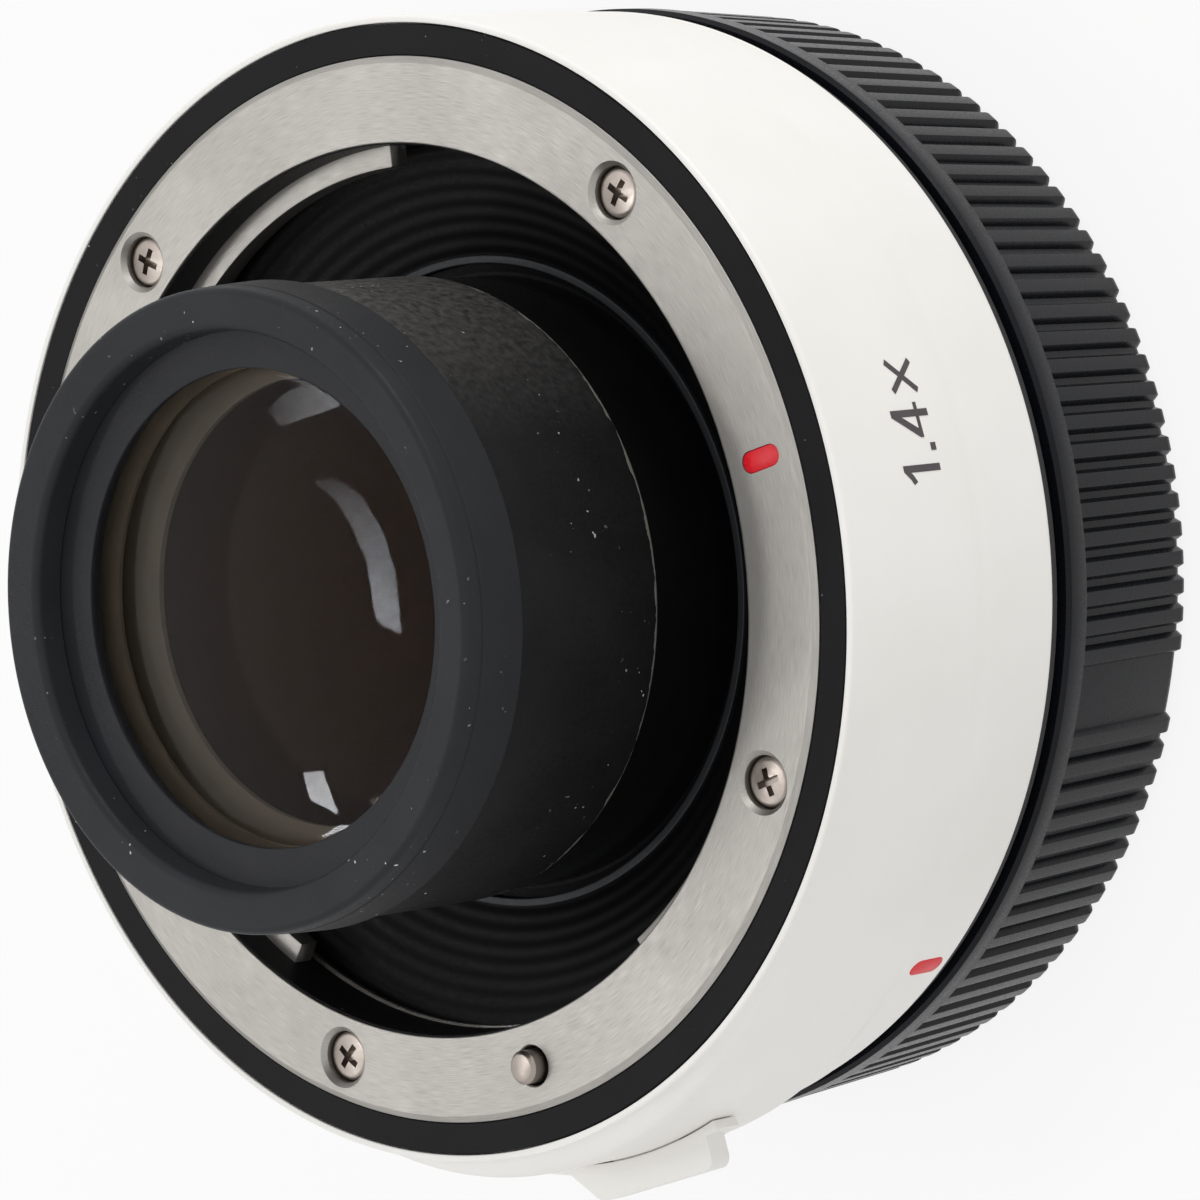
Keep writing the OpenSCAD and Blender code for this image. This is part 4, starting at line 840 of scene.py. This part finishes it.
@dataclass
class LockLever:
    """Lever with its thumb fin, and the pin that it pulls."""

    travel: float = 2.0
    angle: float = 181.0
    offset: float = 8.0
    inner: float = 29.05
    outer: float = 29.75
    crown: float = 4.0
    ends: tuple[float, float] = (-20.5, 12.5)
    rear_z: float = 24.0
    front_z: float = 26.1
    fin_height: float = 1.45
    fin_span: tuple[float, float] = (-4.55, 5.35)
    fin_thickness: float = 1.7
    flare: float = 2.4
    foot: tuple[float, float, float, float] = (33.4, 2.9, 24.3, 25.8)
    pin_radius: float = 1.05
    pin_circle: float = 30.35
    pin_foot_z: float = 22.0
    pin_top_z: float = 34.85

    def lever(self) -> Mesh:
        """Makes the curved plate, the fin and the foot as one solid.

        Returns:
            The lever's mesh.
        """
        start, end = self.ends
        profile = block(self.inner, self.outer, self.rear_z, self.front_z)
        plate = lathe(profile, 40, True, end - start, start)
        limit = self.outer - self.crown
        for vert in plate.verts:
            if math.hypot(vert.co.x, vert.co.y) > (self.inner + self.outer) / 2:
                vert.co.x = min(vert.co.x, self.crown + math.sqrt(limit ** 2 - vert.co.y ** 2))
        tip = self.outer + self.fin_height
        low, high = self.fin_span
        seat = [(self.inner + 0.25) * Vector((math.cos(a), math.sin(a)))
                for a in (math.asin((high - (high - low + self.flare) * i / 12) / self.inner) for i in range(13))]
        outline = rounded([*((x, y, 0.0) for x, y in seat), (self.outer - 0.78, low - self.flare + 0.55, 0.8),
                           (tip - 0.1, low + 0.1, 1.0), (tip, high, 0.75)], 6)
        fin = slab(outline, self.front_z - self.fin_thickness, self.front_z)
        work = combine(plate, fin, Join.ADD)
        bmesh.ops.translate(work, verts=work.verts, vec=(self.offset, 0, 0))
        x, half, low_z, high_z = self.foot
        reach = self.offset + (self.inner + self.outer) / 2
        foot = slab(block(x, reach, -half, half), low_z, high_z)
        work = combine(work, foot, Join.ADD)
        bmesh.ops.remove_doubles(work, verts=work.verts, dist=1e-3)
        soften(work, 0.22, 3, 35.0)
        return place(work, self.angle, 0.0)

    def pin(self) -> Mesh:
        """Turns the lock pin."""
        bevel = 0.2
        r, top = self.pin_radius, self.pin_top_z
        corners = [(0.0, self.pin_foot_z), (r, self.pin_foot_z), (r, top - bevel - 0.03), (r - 0.02, top - bevel),
                   (r - bevel, top - 0.02), (r - bevel - 0.05, top), (0.0, top)]
        return place(lathe(corners, 48, False), self.angle, self.pin_circle)

    def build(self) -> None:
        """Builds the lever and the pin."""
        make_piece("thumb_lever", self.lever(), WHITE_ENAMEL, ["lock_lever"], Body.LOCK)
        make_piece("locking_pin", self.pin(), PLATED_STEEL, ["lock_pin"], Body.LOCK)
        dress("lock_carrier", ANODISED)
        dress("lever_screws", PLATED_STEEL)
        sprung("lock_coil", "lock_spring")
        dress("spring_stud", PLATED_STEEL)


@dataclass
class LensMount:
    """Steel ring with its tabs, screws and index mark."""

    outer: float = 33.1
    throat: float = 27.75
    skirt: float = 28.8
    face_z: float = 33.8
    under_z: float = 31.4
    skirt_z: float = 29.2
    tab_inner: float = 26.3
    tab_span: tuple[float, float] = (29.9, 31.4)
    tabs: tuple[tuple[float, float], ...] = ((-11.4, 52.4), (85, 49.6), (200.6, 60.4))
    dark_sleeve_span: tuple[float, float] = (29.6, 33.5)
    screw_circle: float = 30.4
    screw_angles: tuple[float, ...] = (31, 150, 233, 307)
    screw_turns: tuple[float, ...] = (20, 65, 40, 5)
    head_radius: float = 1.6
    head_top_z: float = 33.3
    head_height: float = 0.8
    pin_angle: float = 181.0
    pin_circle: float = 30.35
    pin_hole: float = 1.26
    mark_angle: float = 270.0
    mark_size: tuple[float, float] = (2.95, 1.35)

    def ring(self) -> Mesh:
        """Turns the ring, adds the tabs and cuts its holes.

        Returns:
            The ring's mesh.
        """
        profile = rounded([(self.throat, self.skirt_z, 0.0), (self.skirt, self.skirt_z, 0.0),
                           (self.skirt, self.under_z, 0.0), (self.outer, self.under_z, 0.0),
                           (self.outer, self.face_z - 0.24, 0.06), (self.outer - 0.4, self.face_z, 0.12),
                           (self.throat, self.face_z, 0.1)], 3)
        work = lathe(profile, 300)
        low, high = self.tab_span
        tab = block(self.tab_inner, self.throat + 0.4, low, high)
        tabs = [soften(lathe(tab, 36, True, width, start), 0.12, 2, 60.0) for start, width in self.tabs]
        work = combine(work, gather(tabs), Join.ADD)
        sink = self.head_radius + 0.05
        base_z = self.head_top_z - self.head_height
        counterbore = [(0.0, self.under_z - 1), (1.05, self.under_z - 1), (1.05, base_z), (sink, base_z),
                       (sink, self.face_z - 0.32), (sink + 0.04, self.face_z - 0.26),
                       (sink + 0.3, self.face_z), (sink + 0.5, self.face_z + 0.2), (0.0, self.face_z + 0.2)]
        cuts = [place(lathe(counterbore, 48, False), a, self.screw_circle) for a in self.screw_angles]
        hole = [(0.0, self.under_z - 1), (self.pin_hole, self.under_z - 1), (self.pin_hole, self.face_z - 0.08),
                (self.pin_hole + 0.2, self.face_z + 0.12), (0.0, self.face_z + 0.12)]
        cuts.append(place(lathe(hole, 48, False), self.pin_angle, self.pin_circle))
        recess = slab(oblong(self.mark_size), self.face_z - 0.3, self.face_z + 0.2)
        cuts.append(place(recess, self.mark_angle, self.screw_circle))
        return combine(work, gather(cuts), Join.CUT)

    def screws(self) -> Mesh:
        """Makes the four cross-head screws, each at its own turn.

        Returns:
            One mesh with the four screws.
        """
        top, under = self.head_top_z, self.head_top_z - self.head_height
        r = self.head_radius
        head = rounded([(0.0, under - 5.5, 0.0), (0.95, under - 5.5, 0.0), (0.95, under, 0.0), (r, under, 0.0),
                        (r, top - 0.1, 0.35), (0.0, top + 0.06, 0.0)], 5)
        arm, half = 0.98, 0.24
        made = []
        for angle, turn in zip(self.screw_angles, self.screw_turns):
            cross = [(half, arm), (-half, arm), (-half, half), (-arm, half), (-arm, -half), (-half, -half),
                     (-half, -arm), (half, -arm), (half, -half), (arm, -half), (arm, half), (half, half)]
            cut = slab(cross, top - 0.55, top + 0.4)
            for vert in cut.verts:
                if vert.co.z < top:
                    vert.co.x *= 0.72
                    vert.co.y *= 0.72
            place(cut, turn, 0.0)
            made.append(place(combine(lathe(head, 48, False), cut, Join.CUT), angle, self.screw_circle))
        return gather(made)

    def mark(self) -> Mesh:
        """Makes the red mark that fills the ring's recess."""
        size = (self.mark_size[0] - 0.04, self.mark_size[1] - 0.04)
        work = soften(slab(oblong(size), self.face_z - 0.29, self.face_z - 0.05), 0.05, 3, 60.0)
        return place(work, self.mark_angle, self.screw_circle)

    def build(self) -> None:
        """Builds the ring's pieces."""
        make_piece("mount_ring", self.ring(), FACED_STEEL, ["lens_mount_ring"])
        # A thin black sleeve over the throat wall between these heights makes the wall dark
        wall = block(self.throat - 0.08, self.throat + 0.02, *self.dark_sleeve_span)
        make_piece("throat_wall", lathe(wall), BLACK_ENAMEL)
        make_piece("mount_screws", self.screws(), PLATED_STEEL, ["lens_mount_screws"])
        make_piece("mount_mark", self.mark(), RED_ENAMEL, ["front_index_mark"])
        dress("bayonet_spring", SPRING_STEEL)
        dress("front_shim", SHIM_BRASS)


@dataclass
class LensTube:
    """Raised tube with its bumper, retainer, front glass and the funnel round its foot."""

    radius: float = 19.5
    root_z: float = 32.4
    bumper_z: float = 44.7
    seat_radius: float = 18.05
    nose_radius: float = 18.3
    nose_bore: float = 17.4
    nose_z: float = 46.9
    crest_z: float = 49.6
    bumper_radius: float = 19.85
    bumper_crest: float = 19.55
    bumper_bore: float = 17.0
    retainer_bore: float = 14.6
    retainer_foot: float = 15.1
    retainer_radius: float = 17.35
    retainer_z: float = 45.6
    bore: float = 16.95
    ledge: tuple[float, float, float] = (14.8, 33.8, 34.8)
    glass: float = 16.9
    front_lens: tuple[float, float, float, float, float, float] = (43.6, 15.2, 0.5, 45.6, 14.5, 1.18)
    inner_lens: tuple[float, float, float, float, float, float] = (38.15, 16.9, -2.66, 40.0, 15.2, 1.46)
    spacer_lips: tuple[tuple[float, float, float, float], ...] = ((14.7, 16.85, 43.1, 43.4),
                                                                  (13.6, 16.85, 40.35, 40.75))
    funnel: tuple[float, float, float, float] = (20.0, 25.4, 27.55, 28.1)
    foot_radius: float = 18.0
    rim_width: float = 0.5
    waves: int = 7
    wave_height: float = 0.06
    window: tuple[float, float, float, float] = (21.5, 27.1, 56.0, 68.0)

    def bumper(self) -> list[Point]:
        """Outline of the rubber bumper."""
        r, z, top = self.bumper_radius, self.bumper_z, self.crest_z
        line, crest = (r + self.bumper_crest) / 2, self.bumper_crest
        return rounded([(self.nose_radius + 0.05, z, 0.0), (r, z, 0.22), (line, top - 1.62, 0.08),
                        (line - 0.14, top - 1.5, 0.05), (line - 0.03, top - 1.38, 0.08), (crest, top, 0.5),
                        (self.bumper_bore, top - 0.35, 0.55), (self.bumper_bore - 0.1, self.nose_z + 0.45, 0.0),
                        (self.nose_radius + 0.05, self.nose_z + 0.45, 0.0)], 7)

    def lens(self, sizes: tuple[float, float, float, float, float, float]) -> Mesh:
        """Turns a lens with two round surfaces.

        Args:
            sizes: height, clear radius and rise of the rear surface, then the same of the front one.

        Returns:
            The lens's mesh.
        """
        steps = 24
        sides = []
        for z, clear, rise in (sizes[:3], sizes[3:]):
            ball = (clear * clear + rise * rise) / (2 * abs(rise))
            side = []
            for i in range(steps + 1):
                r = clear * i / steps
                sag = ball - math.sqrt(ball * ball - r * r)
                side.append((r, z + math.copysign(abs(rise) - sag, rise)))
            sides.append(side)
        rear, front = sides
        lands = [(self.glass, z) for z, clear in ((sizes[0], sizes[1]), (sizes[3], sizes[4])) if clear < self.glass]
        return lathe(rear + lands + front[::-1], 160, False)

    def lips(self) -> Mesh:
        """Turns the two lips of the spacer below the front glass."""
        return gather([lathe(block(*lip), 160) for lip in self.spacer_lips])

    def baffle(self) -> Mesh:
        """Turns the funnel with its soft waves and cuts the window of the contact block.

        Returns:
            The funnel's mesh.
        """
        inner, low, outer, top = self.funnel
        count = self.waves * 10
        slope = []
        for i in range(count + 1):
            share = i / count
            swell = self.wave_height * (0.5 - 0.5 * math.cos(2 * math.pi * self.waves * share))
            slope.append((inner + 0.6 + (outer - inner - 0.6) * share, low + (top - low) * share + swell))
        profile = [(self.foot_radius, low - 0.9), (self.foot_radius, low - 0.6), (inner, low - 0.6), (inner, low),
                   *slope, (outer + 1.3, top), (outer + 1.3, top - 1.6), (outer, top - 1.6)]
        near, far, start, width = self.window
        cut = lathe(block(near, far, low - 2, top + 2), 30, True, width, start)
        return combine(lathe(profile), cut, Join.CUT)

    def build(self) -> None:
        """Builds the tube's pieces."""
        seat, under, over = self.ledge
        tube = rounded([(self.seat_radius, self.root_z, 0.0), (self.radius, self.root_z, 0.22),
                        (self.radius, self.bumper_z, 0.0), (self.nose_radius, self.bumper_z, 0.0),
                        (self.nose_radius, self.nose_z, 0.0), (self.nose_bore, self.nose_z, 0.0),
                        (self.nose_bore, self.retainer_z, 0.0), (self.bore, self.retainer_z, 0.0),
                        (self.bore, over, 0.0), (seat, over, 0.0), (seat, under, 0.0),
                        (self.seat_radius, under, 0.0)], 4)
        make_piece("front_tube", lathe(tube), TUBE_PAINT, ["lens_tube"])
        make_piece("rubber_bumper", lathe(self.bumper()), MOULDED_RUBBER, ["bumper_ring"])
        retainer = rounded([(self.retainer_foot, self.retainer_z, 0.0),
                            (self.retainer_radius, self.retainer_z, 0.0),
                            (self.retainer_radius, self.nose_z + 0.4, 0.0), (self.retainer_bore, self.nose_z, 0.08),
                            (self.retainer_bore, self.nose_z - 0.3, 0.05)], 3)
        make_piece("glass_retainer", lathe(retainer), BLASTED_ANODISED, ["front_retainer"])
        make_piece("front_glass", self.lens(self.front_lens), FRONT_GLASS, ["lens_element_1"])
        make_piece("inner_glass", self.lens(self.inner_lens), INNER_GLASS, ["lens_element_2"])
        make_piece("funnel_baffle", self.baffle(), BAFFLE_PLASTIC, ["light_baffle"])
        inner, low = self.funnel[:2]
        edge = rounded([(inner - 0.02, low - 0.5, 0.0), (inner + self.rim_width, low - 0.5, 0.0),
                        (inner + self.rim_width, low + 0.3, 0.08), (inner - 0.02, low + 0.3, 0.08)], 3)
        make_piece("funnel_rim", lathe(edge), ANODISED)
        make_piece("spacer_lips", self.lips(), LIP_GREY, ["front_spacer"])
        dress("optical_barrel", SATIN_ANODISED)


@dataclass
class RearCap:
    """Ribbed twist-on cap that narrows a little to its back."""

    radius: float = 35.6
    draft: float = 0.7
    groove: float = 0.47
    ribs: int = 123
    phase: float = -0.4
    plain_angle: float = 241.0
    plain_pitches: int = 2
    rib_top_z: float = 11.25
    rim_radius: float = 35.63
    rim_z: float = 13.0
    rim_bevel: float = 0.26
    inner: float = 32.8
    floor: float = 1.6
    tabs: tuple[tuple[float, float], ...] = ((-17, 58), (85, 54), (205, 56))
    tab_inner: float = 26.25
    tab_height: float = 1.4
    collar_span: tuple[float, float, float] = (27.25, 28.85, 12.0)
    edge: float = 0.9
    section: tuple[Point, ...] = ((-0.5, 1.0), (-0.385, 1.0), (-0.26, 0.14), (-0.235, 0.02), (-0.19, 0.0),
                                  (0.19, 0.0), (0.235, 0.02), (0.26, 0.14), (0.385, 1.0))

    def outline(self) -> list[Point]:
        """Angle and share of the groove's depth at each point round the ribs.

        Returns:
            The points in order.
        """
        pitch = 360 / self.ribs
        points = []
        for i in range(self.ribs):
            middle = i * pitch + self.phase
            plain = abs(middle - self.plain_angle) < self.plain_pitches * pitch / 2
            points.extend((middle + share * pitch, 1.0 if plain else depth) for share, depth in self.section)
        return points

    def body(self) -> Mesh:
        """Pulls the ribbed outline up ring by ring, then closes the rim, the inside and the back.

        Returns:
            The cap's mesh.
        """
        outline = self.outline()
        taper = self.draft / self.rib_top_z
        levels: list[tuple[float, float, float]] = []
        for i in range(6):
            lean = math.radians(90 * i / 5)
            levels.append((self.edge * (1 - math.cos(lean)), self.edge * (1 - math.sin(lean)), self.groove))
        levels.append((self.rib_top_z - 0.03, 0.0, self.groove))
        levels.append((self.rib_top_z, 0.0, 0.0))
        rings = []
        for z, inset, depth in levels:
            limit = self.radius - taper * (self.rib_top_z - z)
            rings.append((z, [limit - inset - depth * share for _, share in outline]))
        for r, z in ((self.rim_radius, self.rib_top_z + 0.05), (self.rim_radius, self.rim_z - self.rim_bevel),
                     (self.rim_radius - self.rim_bevel, self.rim_z), (self.inner, self.rim_z),
                     (self.inner, self.floor)):
            rings.append((z, [r] * len(outline)))
        work = bmesh.new()
        edges: list[bmesh.types.BMEdge] = []
        for z, radii in rings:
            if not edges:
                verts = [work.verts.new((0, 0, 0)) for _ in outline]
                edges = [work.edges.new((verts[i - 1], verts[i])) for i in range(len(verts))]
                work.faces.new(verts)
            else:
                pulled = bmesh.ops.extrude_edge_only(work, edges=edges)["geom"]
                edges = [e for e in pulled if isinstance(e, bmesh.types.BMEdge)]
                verts = self.following(verts, edges)
            for vert, (angle, _), r in zip(verts, outline, radii):
                vert.co = (r * math.cos(math.radians(angle)), r * math.sin(math.radians(angle)), z)
        bmesh.ops.contextual_create(work, geom=edges)
        bmesh.ops.recalc_face_normals(work, faces=work.faces)
        return work

    @staticmethod
    def following(verts: Sequence[bmesh.types.BMVert],
                  edges: Sequence[bmesh.types.BMEdge]) -> list[bmesh.types.BMVert]:
        """Puts the points of a pulled ring in the order of the ring it came from.

        Args:
            verts: the points of the ring that was pulled.
            edges: the edges of the new ring.

        Returns:
            The new ring's points.
        """
        fresh = {v for e in edges for v in e.verts}
        return [next(e.other_vert(vert) for e in vert.link_edges if e.other_vert(vert) in fresh) for vert in verts]

    def collar(self) -> Mesh:
        """Makes the inner collar and its bayonet tabs."""
        inner, outer, top = self.collar_span
        tab = block(self.tab_inner, inner + 0.1, top - self.tab_height, top)
        parts = [lathe(block(inner, outer, self.floor - 0.05, top), 160)]
        parts.extend(lathe(tab, 24, True, width, start) for start, width in self.tabs)
        return gather(parts)

    def build(self) -> None:
        """Builds the cap."""
        make_piece("ribbed_cap", gather([self.body(), self.collar()]), CAP_PLASTIC,
                   ["rear_cap"], Body.CAP)
        dress("cap_mark", WHITE_INK)


class HiddenParts:
    """Solids inside the converter, which keep their own shapes."""

    contact_travel: float = 0.7
    finishes: dict[str, Finish] = {
        "rear_cover": BAFFLE_PLASTIC, "rear_mask": BAFFLE_PLASTIC,
        "inner_chassis": ANODISED, "optical_shim": SHIM_BRASS, "optical_screws": PLATED_STEEL,
        "lens_element_3": INNER_GLASS, "middle_retainer": ANODISED,
        "lens_element_4": INNER_GLASS, "lens_element_5": INNER_GLASS, "rear_cell": ANODISED,
        "lens_element_6": INNER_GLASS, "lens_element_7": INNER_GLASS, "rear_retainer": ANODISED,
        "camera_mount_ring": FACED_STEEL, "camera_mount_screws": PLATED_STEEL,
        "rear_contact_block": BAFFLE_PLASTIC, "rear_contacts": GILT, "front_contact_block": BAFFLE_PLASTIC,
        "front_contact_pins": GILT, "contact_block_screws": PLATED_STEEL,
        "circuit_board": BOARD, "board_chips": CHIP_EPOXY, "board_screws": PLATED_STEEL,
        "front_flex": FLEX_FILM, "rear_flex": FLEX_FILM,
    }

    def build(self) -> None:
        """Gives each hidden solid its finish."""
        for node, finish in self.finishes.items():
            dress(node, finish)
        sprung("contact_coils", "contact_springs")


@dataclass
class Studio:
    """Pale floor, soft lamps and the camera at the photograph's angle."""

    eye: tuple[float, float, float] = (-53.94, -295.39, 346.45)
    right: tuple[float, float, float] = (-0.24336, -0.70305, -0.66818)
    up: tuple[float, float, float] = (0.96287, -0.25799, -0.07923)
    back: tuple[float, float, float] = (-0.11667, -0.66266, 0.73977)
    lens_mm: float = 210.0
    sensor_mm: float = 36.0
    target: tuple[float, float, float] = (0.0, 0.0, 25.2)
    glass: tuple[float, float, float] = (0.0, 0.0, 46.0)
    crescent: tuple[Corner, ...] = ((-471, 20, 82), (-465, 23, 104), (-458, 10, 129), (-452, -13, 147),
                                    (-447, -39, 155), (-443, -77, 153), (-451, -69, 133), (-456, -30, 130),
                                    (-461, -8, 119), (-465, 8, 104))
    patch: tuple[Corner, ...] = ((-476, 62, 32), (-472, 74, 51), (-467, 80, 75), (-463, 72, 98), (-461, 67, 106),
                                 (-468, 61, 80), (-475, 53, 48))
    room_level: float = 0.86
    paper_glow: float = 0.86
    spot: tuple[Corner, ...] = ((-456, -152, 32), (-452, -153, 52), (-443, -180, 53), (-451, -167, 30))

    def camera(self) -> None:
        """Sets the camera."""
        data = bpy.data.cameras.new("studio_camera")
        data.lens = self.lens_mm
        data.sensor_width = self.sensor_mm
        data.clip_start, data.clip_end = 0.01, 50.0
        rows = [[self.right[i], self.up[i], self.back[i], self.eye[i] * MM] for i in range(3)]
        holder = bpy.data.objects.new("studio_camera", data)
        holder.matrix_world = Matrix([*rows, [0, 0, 0, 1]])
        bpy.context.scene.collection.objects.link(holder)
        bpy.context.scene.camera = holder

    def lamp(self, name: str, side: float, rise: float, near: float, far_mm: float, size_mm: tuple[float, float],
             watts: float) -> None:
        """Hangs one soft box in the camera's own directions.

        Args:
            name: the lamp's name.
            side: share to the right of the view.
            rise: share upwards in the view.
            near: share towards the camera.
            far_mm: distance from the object.
            size_mm: width and height of the box.
            watts: its power.
        """
        aim = Vector(self.target) * MM
        way = (Vector(self.right) * side + Vector(self.up) * rise + Vector(self.back) * near).normalized()
        data = bpy.data.lights.new(name, "AREA")
        data.shape = "RECTANGLE"
        data.size, data.size_y = size_mm[0] * MM, size_mm[1] * MM
        data.energy = watts
        holder = bpy.data.objects.new(name, data)
        holder.location = aim + way * far_mm * MM
        holder.rotation_mode = "QUATERNION"
        holder.rotation_quaternion = way.to_track_quat("Z", "Y")
        bpy.context.scene.collection.objects.link(holder)

    @staticmethod
    def put(name: str, finish: str, work: Mesh) -> Tree:
        """Sets a thing of the studio in place with an empty material.

        Args:
            name: its name.
            finish: its material's name.
            work: its mesh in metres, which is used up.

        Returns:
            The material's node tree.
        """
        shape = bpy.data.meshes.new(name)
        work.to_mesh(shape)
        work.free()
        made = bpy.data.materials.new(finish)
        made.use_nodes = True
        made.node_tree.nodes.clear()
        shape.materials.append(made)
        holder = bpy.data.objects.new(name, shape)
        bpy.context.scene.collection.objects.link(holder)
        return made.node_tree

    def panel(self, name: str, outline: Sequence[Corner], axis: int, strengths: Point) -> None:
        """Hangs one shaped lamp at the left, which shows in the front glass.

        Args:
            name: the lamp's name.
            outline: places of its corners from the glass: to the right, upwards and towards the camera.
            axis: which of the three its light fades along.
            strengths: how bright its face is at the low end and at the high end of that axis.
        """
        axes = [Vector(way) for way in (self.right, self.up, self.back)]
        work = bmesh.new()
        corners = []
        for shares in outline:
            spot = Vector(self.glass)
            for way, share in zip(axes, shares):
                spot += way * share
            corners.append(work.verts.new(spot * MM))
        work.faces.new(corners)
        tree = self.put(name, name, work)
        along = add_node(tree, "ShaderNodeVectorMath", {0: object_place(tree), 1: axes[axis]},
                         operation="DOT_PRODUCT").outputs["Value"]
        start = axes[axis].dot(Vector(self.glass))
        ends = [(start + pick(corner[axis] for corner in outline)) * MM for pick in (min, max)]
        level = Finish.spread(tree, along, *ends, *strengths)
        glow = add_node(tree, "ShaderNodeEmission", {"Strength": level}).outputs[0]
        add_node(tree, "ShaderNodeOutputMaterial", {"Surface": glow})

    def seen(self, tree: Tree) -> Socket:
        """Tells rays that show the backdrop from rays that only light the object.

        Args:
            tree: the node tree of the floor or the world.

        Returns:
            A socket that is 1 for camera, glossy and transmission rays.
        """
        rays = add_node(tree, "ShaderNodeLightPath", {}).outputs
        both = calc(tree, "MAXIMUM", rays["Is Camera Ray"], rays["Is Glossy Ray"])
        return calc(tree, "MAXIMUM", both, rays["Is Transmission Ray"])

    def floor(self) -> None:
        """Lays the pale floor, which shows white but keeps the object's shadow."""
        work = bmesh.new()
        bmesh.ops.create_grid(work, x_segments=2, y_segments=2, size=3.0)
        tree = self.put("studio_floor", "studio_paper", work)
        lit = add_node(tree, "ShaderNodeBsdfDiffuse", {"Color": linear("#E4E4E3")}).outputs[0]
        glow = add_node(tree, "ShaderNodeEmission", {"Color": (1, 1, 1, 1), "Strength": 1.0}).outputs[0]
        share = calc(tree, "MULTIPLY", self.seen(tree), self.paper_glow)
        mixed = add_node(tree, "ShaderNodeMixShader", {0: share, 1: lit, 2: glow}).outputs[0]
        add_node(tree, "ShaderNodeOutputMaterial", {"Surface": mixed})

    def sky(self) -> None:
        """Lights the room softly from all sides, with a white backdrop."""
        world = bpy.data.worlds.new("studio_room")
        world.use_nodes = True
        tree = world.node_tree
        tree.nodes.clear()
        level = Finish.spread(tree, self.seen(tree), 0.0, 1.0, self.room_level, 1.0)
        glow = add_node(tree, "ShaderNodeBackground", {"Color": (1, 1, 1, 1), "Strength": level}).outputs[0]
        add_node(tree, "ShaderNodeOutputWorld", {"Surface": glow})
        bpy.context.scene.world = world

    def build(self) -> None:
        """Sets the camera, the floor, the room and the lamps."""
        bpy.context.scene.view_settings.view_transform = "Standard"
        self.camera()
        self.floor()
        self.sky()
        self.lamp("top_box", 0.1, 0.9, 0.5, 420, (120, 120), 0.45)
        self.lamp("side_box", 0.85, 0.1, 0.5, 460, (140, 140), 0.4)
        self.panel("crescent_lamp", self.crescent, 1, (52.0, 4.0))
        self.panel("patch_lamp", self.patch, 2, (2.0, 26.0))
        self.panel("spot_lamp", self.spot, 1, (60.0, 45.0))


def main() -> None:
    """Builds every sub-assembly in order and reports each piece."""
    logging.basicConfig(level=logging.INFO, format="%(name)s: %(message)s")
    for part in (Studio(), OuterShell(), LockLever(), LensMount(), LensTube(), RearCap(), HiddenParts()):
        part.build()


if __name__ == "__main__":
    main()
